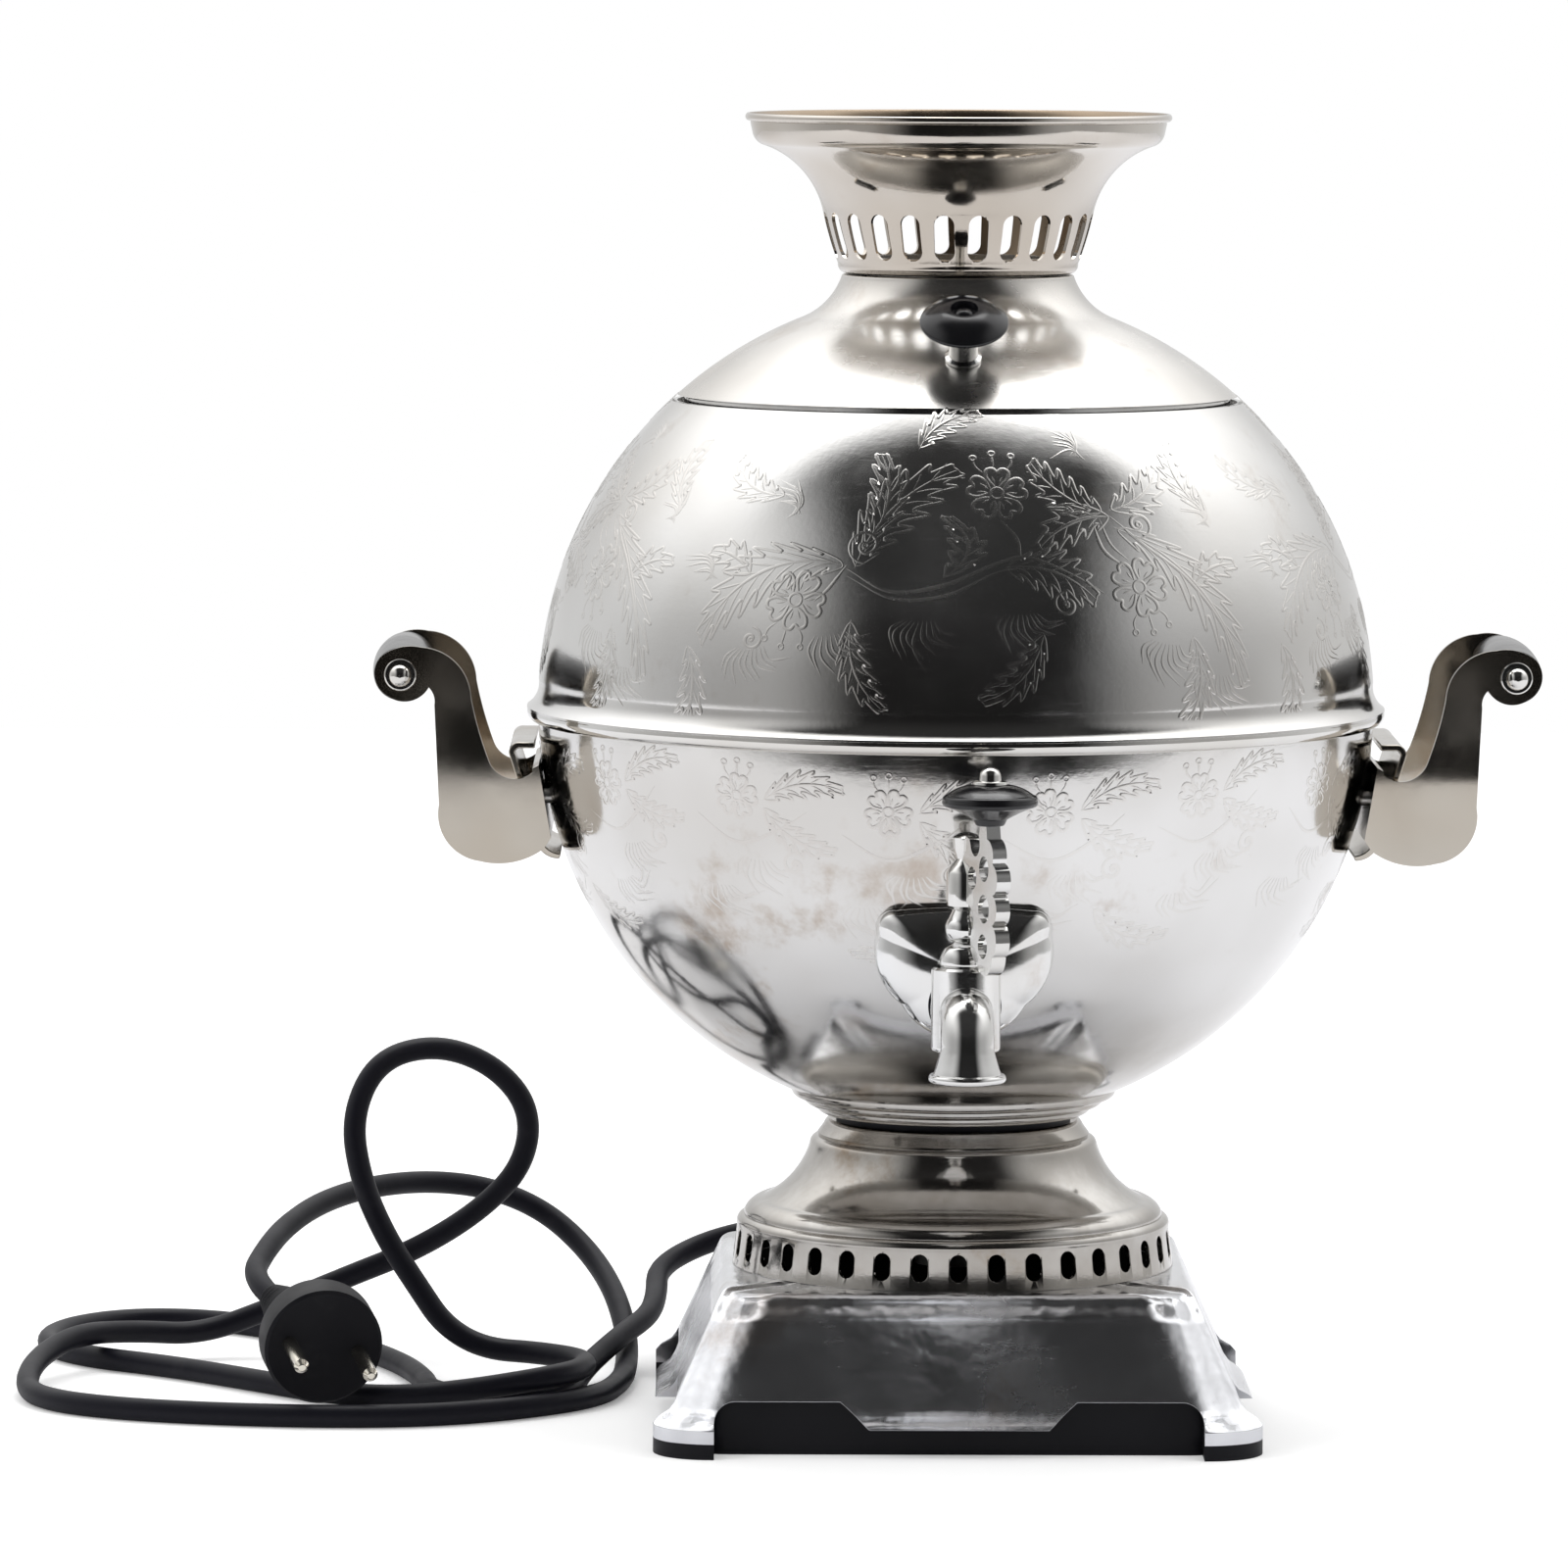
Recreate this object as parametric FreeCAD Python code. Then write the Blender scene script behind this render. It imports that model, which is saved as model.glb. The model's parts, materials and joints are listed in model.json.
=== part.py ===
"""Electric ball samovar: a spun globe urn on a vented pedestal and a square cast base.

Millimetres, +Z up, the front (tap side) towards -Y. The origin is on the body's axis, on the
plane that the base stands on.
"""
import FreeCAD
import Part
import math
import os

V = FreeCAD.Vector
UP = V(0, 0, 1)
CENTRE = V(0, 0, 0)

# Globe
BALL_R = 111.6
BALL_Z = 191.3
SHEET = 1.1
RIM_R = 114.5
RIM_Z = 191.2
FLARE_TOP_Z = 198.4
BEAD_H = 3.4
SEAM_GAP = 1.5
MOUTH_Z = 272.8
COLLAR_R = 71.6
COLLAR_DEPTH = 11.5
SEAT_GAP = 0.3

# Foot of the globe
FOOT_R = 33.6
FOOT_Z = 82.2
FOOT_TOP_R = 43.6
FOOT_BORE_R = 10.4
BEAD_STEPS = 3

# Lid
LID_SHEET = 1.0
NECK_R = 31.0
NECK_Z = 306.4
NECK_BLEND_R = 42.0
STEAM_R = 24.6
STEAM_H = 4.6
KNOB_TILT = 31.5
KNOB_R = 11.5
KNOB_H = 7.4
FERRULE_R = 3.9
FERRULE_H = 9.6
SCREW_R = 2.0

# Crown that carries the teapot
CROWN_SHEET = 0.9
CROWN_RIM_R = 56.6
CROWN_TOP_Z = 349.2
CROWN_WAIST_R = 36.2
CROWN_WAIST_Z = 324.0
CROWN_SLOTS = 24
CROWN_SLOT_W = 5.4
CROWN_SLOT_H = 12.2
CROWN_SLOT_Z = 316.9
CROWN_CLEARANCE = 0.4

# Pedestal
GASKET_H = 1.8
GASKET_R = 31.4
BELL_TOP_R = 33.8
BELL_SHEET = 1.4
BELL_FOOT_R = 56.1
VENT_TOP_Z = 54.6
VENT_TOP_R = 57.0
VENT_FOOT_R = 59.2
VENT_SHEET = 1.3
VENT_SLOTS = 36
VENT_SLOT_W = 4.4
VENT_SLOT_H = 7.2
VENT_SLOT_Z = 47.4

# Square base
BASE_TOP_Z = 41.2
BASE_TOP_HALF = 61.6
BASE_TOP_CORNER = 6.0
BASE_WAIST_Z = 12.5
BASE_WAIST_HALF = 74.6
BASE_WAIST_CORNER = 11.0
BASE_FOOT_HALF = 80.0
BASE_FOOT_CORNER = 15.0
BASE_LIP_Z = 7.6
BASE_WALL = 3.2
BASE_EDGE = 3.4
PAD_H = 4.0
NOTCH_TOP_Z = 14.4
NOTCH_OUTER = 64.0
NOTCH_INNER = 31.0
NOTCH_CORNER = 5.5
TAB_HALF = 23.5
TAB_Z = 7.9
PAN_WALL = 2.6
PAN_RECESS = 1.2
PAN_H = 15.0
PAN_FLOOR_Z = 1.6
PAN_FLOOR = 2.4
POST_R = 5.0
POST_REACH = 46.0
PAN_SCREW_R = 1.8
PAN_SCREW_HEAD_R = 3.6

# Heater and clamping
TIE_R = 10.0
TIE_BORE_R = 7.5
NUT_AF = 28.0
NUT_H = 5.5
ELEMENT_FLANGE_R = 29.0
ELEMENT_FLANGE_H = 3.0
ELEMENT_R = 4.2
ELEMENT_RING_R = 41.0
ELEMENT_RING_Z = 112.0
ELEMENT_LEG = 13.0
ELEMENT_BEND = 9.0

# Handles
GRIP_X = 147.4
GRIP_Z = 201.4
GRIP_MID_R = 8.0
GRIP_END_R = 7.0
CHEEK_Y = 31.0
CHEEK = 1.6
BOLT_R = 2.0
BOLT_CLEARANCE = 0.15
WASHER_R = 4.3
WASHER_H = 1.0
CAP_R = 3.0
BRACKET_HALF = 27.5
BRACKET_SHEET = 1.5
HANDLE_SCREW_Y = 15.0
HANDLE_SCREW_Z = 168.0
HANDLE_SCREW_R = 2.0
HANDLE_SCREW_HEAD_R = 3.8
HEAD_SEAT_X = GRIP_X - 36.9

# Tap
TAP_Z = 122.5
TAP_Y = -118.0
BARREL_R = 8.9
BARREL_TOP_Z = 133.9
BARREL_FOOT_Z = 112.0
BOSS_R = 9.0
BOSS_IN_Y = -79.0
BOSS_OUT_Y = -107.6
SHANK_R = 7.0
BORE_R = 3.6
PLUG_TOP_R = 6.4
PLUG_FOOT_R = 5.2
PLUG_CLEARANCE = 0.05
SPOUT_Y = -135.0
SPOUT_BEND = 8.0
SPOUT_R = 6.8
SPOUT_FOOT_Z = 106.0
SPOUT_FOOT_R = 8.5
LIP_R = 9.9
LIP_H = 2.2
WING_TURN = 20.0
WING_T = 3.8
TAP_KNOB_U = 16.0
TAP_KNOB_Z = 171.4
TAP_KNOB_R = 12.1

# Shield round the tap
SHIELD_TOP_Z = 147.2
SHIELD_HALF = 22.6
SHIELD_FOOT_Z = 112.6
SHIELD_SHEET = 1.4
SHIELD_PLAN_R = 46.0
SHIELD_FRONT_Y = -108.2

# Mains lead
CORD_R = 3.1
CORD_Z = 3.2
GLAND_X = -42.0
GLAND_Z = 22.5
GLAND_LENGTH = 15.0
BEND_SHARE = 0.45

# Mains plug
PLUG_R = 16.0
PLUG_T = 14.0
PLUG_PIN_R = 2.0
PLUG_PIN_L = 19.0
PLUG_PIN_GAP = 19.0
PLUG_CENTRE = V(-170, -3, 20.2)
PLUG_FACES = V(0.22, -0.955, -0.2)
PLUG_BOOT_ALONG = V(-0.51, 0.80, 0.31)
PLUG_BOOT_L = 27.0


def save(name, shape):
    """Write one sub-part and print how many solids it holds."""
    shape.exportStep(os.path.join("parts", name + ".step"))
    print(name, len(shape.Solids), round(shape.Volume, 1))


def at_radius(radius, ball=BALL_R):
    """Height of the ball's upper half at a distance from its axis."""
    return BALL_Z + math.sqrt(ball * ball - radius * radius)


def ball_radius(z, ball=BALL_R):
    """Distance of the ball's surface from its axis at a height."""
    return math.sqrt(ball * ball - (z - BALL_Z) ** 2)


def path(start, *steps):
    """Edges in the XZ plane: two numbers are a straight step, four are an arc through a point."""
    here = V(start[0], 0, start[1])
    edges = []
    for step in steps:
        last = V(step[-2], 0, step[-1])
        if len(step) == 2:
            edges.append(Part.makeLine(here, last))
        else:
            edges.append(Part.Arc(here, V(step[0], 0, step[1]), last).toShape())
        here = last
    return edges


def closed_face(start, *steps):
    """A flat face in the XZ plane, closed by a straight edge where it has to be."""
    edges = path(start, *steps)
    first = V(start[0], 0, start[1])
    last = V(steps[-1][-2], 0, steps[-1][-1])
    if first.distanceToPoint(last) > 1e-6:
        edges.append(Part.makeLine(last, first))
    return Part.Face(Part.Wire(edges))


def turned(start, *steps):
    """A solid of revolution about the body's axis."""
    return closed_face(start, *steps).revolve(CENTRE, UP, 360)


def dome(radius, low, height):
    """Arc step of a round cap that stands on a rim: a point half way up, then the top."""
    ball = (radius * radius + height * height) / (2 * height)
    half = math.asin(radius / ball) / 2
    middle_z = low + height - ball + ball * math.cos(half)
    return ball * math.sin(half), middle_z, 0, low + height


def ring(inner, outer, low, high):
    """A plain ring about the body's axis."""
    return turned((inner, low), (outer, low), (outer, high), (inner, high))


def rod(radius, start, end):
    """A round bar from one point to another."""
    return Part.makeCylinder(radius, (end - start).Length, start, end - start)


def slot_cutters(count, width, height, z, reach, turn=0.0):
    """Round-ended slots standing upright round the axis."""
    half = width / 2
    straight = height / 2 - half
    outline = [
        Part.makeLine(V(0, -half, z - straight), V(0, -half, z + straight)),
        Part.Arc(V(0, -half, z + straight), V(0, 0, z + height / 2), V(0, half, z + straight)).toShape(),
        Part.makeLine(V(0, half, z + straight), V(0, half, z - straight)),
        Part.Arc(V(0, half, z - straight), V(0, 0, z - height / 2), V(0, -half, z - straight)).toShape(),
    ]
    blade = Part.Face(Part.Wire(outline)).extrude(V(reach, 0, 0))
    cutters = []
    for index in range(count):
        cutter = blade.copy()
        cutter.rotate(CENTRE, UP, turn + index * 360 / count)
        cutters.append(cutter)
    return cutters


def hexagon(across_flats, height, foot, along):
    """A hexagonal nut blank on a foot point, standing along a direction."""
    corner = across_flats / math.sqrt(3)
    points = [V(corner * math.cos(math.radians(60 * i)), corner * math.sin(math.radians(60 * i)), 0)
              for i in range(7)]
    blank = Part.Face(Part.makePolygon(points)).extrude(V(0, 0, height))
    blank.Placement = FreeCAD.Placement(foot, FreeCAD.Rotation(UP, along))
    return blank


def mirrored(shape):
    """The same piece on the other side of the body."""
    return shape.mirror(CENTRE, V(1, 0, 0))


def rounded_square(half, corner, z):
    """A square wire with rounded corners at a height."""
    flat = half - corner
    slant = corner * math.sqrt(0.5)
    edges = []
    for quarter in range(4):
        turn = FreeCAD.Rotation(UP, 90 * quarter)
        side = Part.makeLine(V(half, -flat, z), V(half, flat, z))
        bend = Part.Arc(V(half, flat, z), V(flat + slant, flat + slant, z), V(flat, half, z)).toShape()
        for edge in (side, bend):
            edge.Placement = FreeCAD.Placement(CENTRE, turn)
            edges.append(edge)
    return Part.Wire(edges)


def frustum(*stations):
    """A solid through rounded squares, each given as half width, corner radius and height."""
    wires = [rounded_square(half, corner, z) for half, corner, z in stations]
    pieces = [Part.makeLoft([low, high], True, True) for low, high in zip(wires, wires[1:])]
    whole = pieces[0]
    for piece in pieces[1:]:
        whole = whole.fuse(piece)
    return whole.removeSplitter()


def bent_path(points, share=BEND_SHARE, radius=None):
    """Straight runs joined by tangent arcs; returns the wire and each bend's radius."""
    edges = []
    radii = []
    here = points[0]
    for before, corner, after in zip(points, points[1:], points[2:]):
        arrive = (corner - before).normalize()
        leave = (after - corner).normalize()
        turn = arrive.getAngle(leave)
        tangent = share * min((corner - before).Length, (after - corner).Length)
        if radius:
            tangent = radius * math.tan(turn / 2)
        bend = tangent / math.tan(turn / 2)
        radii.append(bend)
        start = corner - arrive * tangent
        end = corner + leave * tangent
        inward = (leave - arrive).normalize()
        middle = corner + inward * (bend / math.cos(turn / 2) - bend)
        if start.distanceToPoint(here) > 1e-6:
            edges.append(Part.makeLine(here, start))
        edges.append(Part.Arc(start, middle, end).toShape())
        here = end
    edges.append(Part.makeLine(here, points[-1]))
    return Part.Wire(edges), radii


def tube(wire, radius):
    """A round bar along a wire."""
    first = wire.Edges[0]
    start = first.valueAt(first.FirstParameter)
    ahead = first.tangentAt(first.FirstParameter)
    section = Part.Wire([Part.makeCircle(radius, start, ahead)])
    return wire.makePipeShell([section], True, False)


# Globe, belt and mouth

def upper_shell():
    """Upper half of the urn: a spun dome that flares into the joint at its widest line."""
    mouth_r = ball_radius(MOUTH_Z)
    flare_r = ball_radius(FLARE_TOP_Z)
    middle_z = (MOUTH_Z + FLARE_TOP_Z) / 2
    inner = BALL_R - SHEET
    shell = turned(
        (mouth_r, MOUTH_Z),
        (ball_radius(middle_z), middle_z, flare_r, FLARE_TOP_Z),
        (flare_r + 0.7, RIM_Z + 2.8, RIM_R, RIM_Z),
        (RIM_R, RIM_Z - SHEET / 2),
        (BALL_R - SHEET, RIM_Z - SHEET / 2),
        (ball_radius(middle_z, inner), middle_z, ball_radius(MOUTH_Z, inner), MOUTH_Z),
    )
    return shell.cut(Part.makeCompound(screw_holes()))


def screw_holes():
    """Drill lines of the handles' fixing screws through the urn's wall."""
    holes = []
    for side in (-1, 1):
        for y in (-HANDLE_SCREW_Y, HANDLE_SCREW_Y):
            start = V(side * (BALL_R - 18), y, HANDLE_SCREW_Z)
            holes.append(rod(HANDLE_SCREW_R + BOLT_CLEARANCE, start, start + V(side * 26, 0, 0)))
    return holes


def belt_ring():
    """Bead that closes the joint under the flared edge of the upper half."""
    top = RIM_Z - SHEET / 2
    foot = top - BEAD_H
    return turned(
        (BALL_R + 0.05, top),
        (RIM_R - 0.2, top),
        (RIM_R - 0.6, foot + 1.0, BALL_R + 0.05, foot),
    )


def lower_shell():
    """Lower half of the urn: a spun bowl that ends in three beads and a flat foot."""
    top = RIM_Z - SHEET / 2
    inner = BALL_R - SHEET
    foot_top_z = 2 * BALL_Z - at_radius(FOOT_TOP_R)
    middle_z = (top + foot_top_z) / 2
    drop = (foot_top_z - FOOT_Z) / BEAD_STEPS
    step = (FOOT_TOP_R - FOOT_R) / BEAD_STEPS
    outline = [(ball_radius(middle_z), middle_z, FOOT_TOP_R, foot_top_z)]
    for bead in range(BEAD_STEPS):
        r = FOOT_TOP_R - bead * step
        z = foot_top_z - bead * drop
        outline.append((r - 0.15 * step, z - 0.72 * drop, r - step, z - drop))
    floor_z = FOOT_Z + SHEET
    inner_foot_z = FOOT_Z + 2.6 * SHEET
    inner_foot_r = FOOT_R - SHEET
    inner_top_z = foot_top_z + 1.6
    outline += [
        (FOOT_BORE_R, FOOT_Z),
        (FOOT_BORE_R, floor_z),
        (inner_foot_r, floor_z),
        (inner_foot_r, inner_foot_z),
        (ball_radius(inner_top_z, inner), inner_top_z),
        (ball_radius(middle_z, inner), middle_z, inner, top),
    ]
    bowl = turned((BALL_R, top), *outline)
    bowl = bowl.cut(rod(BOSS_R + 0.05, V(0, BOSS_IN_Y + 10, TAP_Z), V(0, BOSS_OUT_Y, TAP_Z)))
    return bowl.cut(Part.makeCompound(screw_holes()))


def mouth_ring():
    """Stiffening ring in the mouth: a ledge and the collar that guides the lid."""
    ledge_z = MOUTH_Z - 1.2
    top = MOUTH_Z + SEAM_GAP - SEAT_GAP - 0.3
    ledge_r = ball_radius(ledge_z, BALL_R - SHEET)
    return turned(
        (COLLAR_R, top),
        (COLLAR_R, top - COLLAR_DEPTH),
        (COLLAR_R + SHEET, top - COLLAR_DEPTH),
        (COLLAR_R + SHEET, ledge_z - SHEET),
        (ledge_r, ledge_z - SHEET),
        (ledge_r, ledge_z),
        (COLLAR_R + SHEET, ledge_z),
        (COLLAR_R + SHEET, top),
    )


# Lid

def lid_dome():
    """Lid sheet: it carries the ball on to a short neck with a steam tube."""
    edge_z = MOUTH_Z + SEAM_GAP
    inner = BALL_R - LID_SHEET
    blend_z = at_radius(NECK_BLEND_R)
    middle_r = (ball_radius(edge_z) + NECK_BLEND_R) / 2
    top = NECK_Z + STEAM_H
    under = NECK_Z - LID_SHEET
    bore = STEAM_R - LID_SHEET
    dome_sheet = turned(
        (ball_radius(edge_z), edge_z),
        (middle_r, at_radius(middle_r), NECK_BLEND_R, blend_z),
        (NECK_R + 3.9, NECK_Z - 7.0, NECK_R, NECK_Z - 0.6),
        (NECK_R - 0.2, NECK_Z - 0.15, NECK_R - 0.7, NECK_Z),
        (STEAM_R, NECK_Z),
        (STEAM_R, top),
        (bore, top),
        (bore, under),
        (NECK_R - 1.4, under),
        (NECK_R + 2.7, NECK_Z - 7.6, NECK_BLEND_R - 0.5, blend_z - LID_SHEET),
        (middle_r - 0.4, at_radius(middle_r - 0.4, inner), ball_radius(edge_z, inner), edge_z),
    )
    return dome_sheet.cut(on_knob(rod(SCREW_R + 0.1, V(0, 0, -8), V(0, 0, 8))))


def lid_skirt():
    """Ring inside the lid that drops into the mouth's collar."""
    web_z = MOUTH_Z + SEAM_GAP - 0.3
    skirt_r = COLLAR_R - CROWN_CLEARANCE
    web_r = ball_radius(web_z + 0.8, BALL_R - LID_SHEET) - 0.05
    foot = web_z - COLLAR_DEPTH + 1.5
    return turned(
        (web_r, web_z + 0.8),
        (web_r, web_z),
        (skirt_r, web_z),
        (skirt_r, foot),
        (skirt_r - 0.8, foot),
        (skirt_r - 0.8, web_z + 0.8),
    )


def knob_spot():
    """Foot point and direction of the front lid knob, square to the dome."""
    tilt = math.radians(KNOB_TILT)
    along = V(0, -math.sin(tilt), math.cos(tilt))
    return V(0, 0, BALL_Z) + along * BALL_R, along


def on_knob(shape):
    """Move a piece modelled about the Z axis on to both lid knobs."""
    foot, along = knob_spot()
    front = shape.copy()
    front.Placement = FreeCAD.Placement(foot, FreeCAD.Rotation(UP, along))
    back = front.copy()
    back.rotate(CENTRE, UP, 180)
    return Part.makeCompound([front, back])


def lid_knobs():
    """Mushroom knobs of black moulding, with a countersunk middle."""
    low = FERRULE_H - 1.2
    rim = low + KNOB_H * 0.45
    top = low + KNOB_H
    return on_knob(turned(
        (SCREW_R + 0.1, low),
        (FERRULE_R + 0.5, low),
        (KNOB_R - 2.2, low + 1.2, KNOB_R, rim - 0.6),
        (KNOB_R + 0.05, rim, KNOB_R - 0.4, rim + 0.6),
        (KNOB_R * 0.62, top - 0.7, 4.4, top),
        (3.6, top),
        (3.2, top - 1.8),
        (SCREW_R + 0.1, top - 1.8),
    ))


def knob_ferrules():
    """Bright stems that hold the knobs off the hot dome."""
    return on_knob(turned(
        (SCREW_R + 0.1, 0.05),
        (FERRULE_R + 0.9, 0.05),
        (FERRULE_R + 0.9, 0.9),
        (FERRULE_R, 1.5),
        (FERRULE_R, FERRULE_H - 1.2),
        (SCREW_R + 0.1, FERRULE_H - 1.2),
    ))


def knob_screws():
    """Screws down through knob and stem, with a nut under the dome."""
    top = FERRULE_H - 1.2 + KNOB_H
    low = -LID_SHEET - 3.0
    screw = turned((0, low), (SCREW_R, low), (SCREW_R, top - 1.8), (3.0, top - 1.8),
                   dome(3.0, top - 1.8, 1.4))
    nut = hexagon(7.0, 2.4, V(0, 0, low + 0.4), UP)
    return on_knob(screw.fuse(nut))


# Crown

def crown():
    """Openwork crown: a slotted neck that flares into the teapot's seat."""
    flange_z = NECK_Z + SEAT_GAP
    bore = STEAM_R + CROWN_CLEARANCE
    wall = CROWN_SHEET
    top = CROWN_TOP_Z
    sheet = turned(
        (bore, flange_z),
        (29.4, flange_z),
        (31.3, flange_z + 0.7, 32.0, flange_z + 2.7),
        (34.6, 317.4, CROWN_WAIST_R, CROWN_WAIST_Z),
        (40.6, 332.8, 51.6, 340.6),
        (53.9, 342.0, 54.9, 344.3),
        (55.4, 346.6),
        (55.3, 347.2),
        (CROWN_RIM_R, 347.6, CROWN_RIM_R, top - 0.4),
        (CROWN_RIM_R - 0.5, top, CROWN_RIM_R - 1.2, top - 0.2),
        (54.3, 346.9),
        (53.9, 344.9),
        (53.1, 342.9, 51.0, 341.6),
        (39.9, 333.6, CROWN_WAIST_R - wall, CROWN_WAIST_Z + 0.4),
        (33.7, 317.6, 31.1, flange_z + 2.9),
        (30.6, flange_z + 1.3, 29.2, flange_z + wall),
        (bore, flange_z + wall),
    )
    half_step = 180 / CROWN_SLOTS
    cutters = slot_cutters(CROWN_SLOTS, CROWN_SLOT_W, CROWN_SLOT_H, CROWN_SLOT_Z, 60, half_step - 90)
    return sheet.cut(Part.makeCompound(cutters))


# Pedestal and base

def neck_gasket():
    """Black rubber ring between the urn's foot and the pedestal."""
    return ring(TIE_R + 0.3, GASKET_R, FOOT_Z - GASKET_H, FOOT_Z)


def pedestal_bell():
    """Bell-shaped pedestal with a beaded neck and a flat top."""
    top = FOOT_Z - GASKET_H
    wall = BELL_SHEET
    return turned(
        (TIE_R + 0.3, top),
        (BELL_TOP_R - 0.5, top),
        (BELL_TOP_R + 0.4, top - 0.6, BELL_TOP_R + 1.0, top - 1.6),
        (BELL_TOP_R + 2.6, top - 3.8),
        (BELL_TOP_R + 2.3, top - 4.6),
        (BELL_TOP_R + 4.0, top - 5.2, BELL_TOP_R + 4.7, top - 6.4),
        (42.4, 66.0, 51.2, 58.8),
        (54.7, 57.4, BELL_FOOT_R, 55.4),
        (BELL_FOOT_R, VENT_TOP_Z),
        (BELL_FOOT_R - wall, VENT_TOP_Z),
        (53.4, 56.2, 50.6, 57.5),
        (41.4, 64.9, 36.8, 73.8),
        (33.6, 76.2),
        (31.0, top - wall),
        (TIE_R + 0.3, top - wall),
    )


def vent_ring():
    """Slotted ring that lets air into the pedestal."""
    wall = VENT_SHEET
    band = turned(
        (BELL_FOOT_R - 3.2, VENT_TOP_Z),
        (BELL_FOOT_R + 0.1, VENT_TOP_Z),
        (VENT_TOP_R + 0.4, VENT_TOP_Z - 0.5, VENT_TOP_R + 0.9, VENT_TOP_Z - 3.0),
        (VENT_FOOT_R, BASE_TOP_Z),
        (VENT_FOOT_R - wall, BASE_TOP_Z),
        (VENT_TOP_R - 0.5, VENT_TOP_Z - 3.0),
        (VENT_TOP_R - 1.0, VENT_TOP_Z - wall),
        (BELL_FOOT_R - 3.2, VENT_TOP_Z - wall),
    )
    cutters = slot_cutters(VENT_SLOTS, VENT_SLOT_W, VENT_SLOT_H, VENT_SLOT_Z, 70, -90)
    return band.cut(Part.makeCompound(cutters))


def notch():
    """Arched gap along one side of the base, either side of a middle tab."""
    low = -1.0
    reach = BASE_FOOT_HALF + 5
    slant = NOTCH_CORNER * (1 - math.sqrt(0.5))
    corner_z = NOTCH_TOP_Z - NOTCH_CORNER
    corner_x = NOTCH_OUTER - NOTCH_CORNER
    face = closed_face(
        (-NOTCH_OUTER, low),
        (-NOTCH_OUTER, corner_z),
        (-NOTCH_OUTER + slant, NOTCH_TOP_Z - slant, -corner_x, NOTCH_TOP_Z),
        (-NOTCH_INNER, NOTCH_TOP_Z),
        (-TAB_HALF, TAB_Z),
        (TAB_HALF, TAB_Z),
        (NOTCH_INNER, NOTCH_TOP_Z),
        (corner_x, NOTCH_TOP_Z),
        (NOTCH_OUTER - slant, NOTCH_TOP_Z - slant, NOTCH_OUTER, corner_z),
        (NOTCH_OUTER, low),
    )
    face.translate(V(0, -reach, 0))
    return face.extrude(V(0, 2 * reach, 0))


def posts():
    """Centres of the four posts that join pan and casting."""
    return [V(x, y, 0) for x in (-POST_REACH, POST_REACH) for y in (-POST_REACH, POST_REACH)]


def base_casting():
    """Square cast base: a hollow frustum with rounded corners, four feet and arched gaps."""
    outside = frustum(
        (BASE_FOOT_HALF, BASE_FOOT_CORNER, PAD_H),
        (BASE_FOOT_HALF, BASE_FOOT_CORNER, BASE_LIP_Z),
        (BASE_FOOT_HALF - 1.4, BASE_FOOT_CORNER - 0.8, BASE_LIP_Z + 1.6),
        (BASE_WAIST_HALF + 1.2, BASE_WAIST_CORNER + 1.2, BASE_WAIST_Z - 1.6),
        (BASE_WAIST_HALF, BASE_WAIST_CORNER, BASE_WAIST_Z),
        (BASE_TOP_HALF, BASE_TOP_CORNER, BASE_TOP_Z),
    )
    rim = [edge for edge in outside.Edges
           if edge.BoundBox.ZMin > BASE_TOP_Z - 1e-3]
    outside = outside.makeFillet(BASE_EDGE, rim)
    wall = BASE_WALL
    roof = BASE_TOP_Z - wall
    cavity = frustum(
        (BASE_WAIST_HALF - wall, BASE_WAIST_CORNER, PAD_H - 1),
        (BASE_WAIST_HALF - wall, BASE_WAIST_CORNER, BASE_WAIST_Z),
        (BASE_TOP_HALF - wall, BASE_TOP_CORNER, roof),
    )
    casting = outside.cut(cavity)
    side_notch = notch()
    side_notch.rotate(CENTRE, UP, 90)
    core = Part.makeBox(2 * BASE_WAIST_HALF - 12, 2 * BASE_WAIST_HALF - 12, 60)
    core.translate(V(6 - BASE_WAIST_HALF, 6 - BASE_WAIST_HALF, -10))
    casting = casting.cut(notch()).cut(side_notch)
    bosses = [rod(POST_R, p + V(0, 0, PAN_H), p + V(0, 0, roof + 0.5)) for p in posts()]
    casting = casting.fuse(bosses)
    drills = [rod(PAN_SCREW_R, p + V(0, 0, PAN_H - 1), p + V(0, 0, roof - 6)) for p in posts()]
    drills.append(rod(TIE_R + 0.3, V(0, 0, roof - 1), V(0, 0, BASE_TOP_Z + 1)))
    seat, along = gland_seat()
    drills.append(rod(CORD_R + 2.3, seat - along * 12, seat + along * 12))
    return casting.cut(Part.makeCompound(drills)).removeSplitter()


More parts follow.
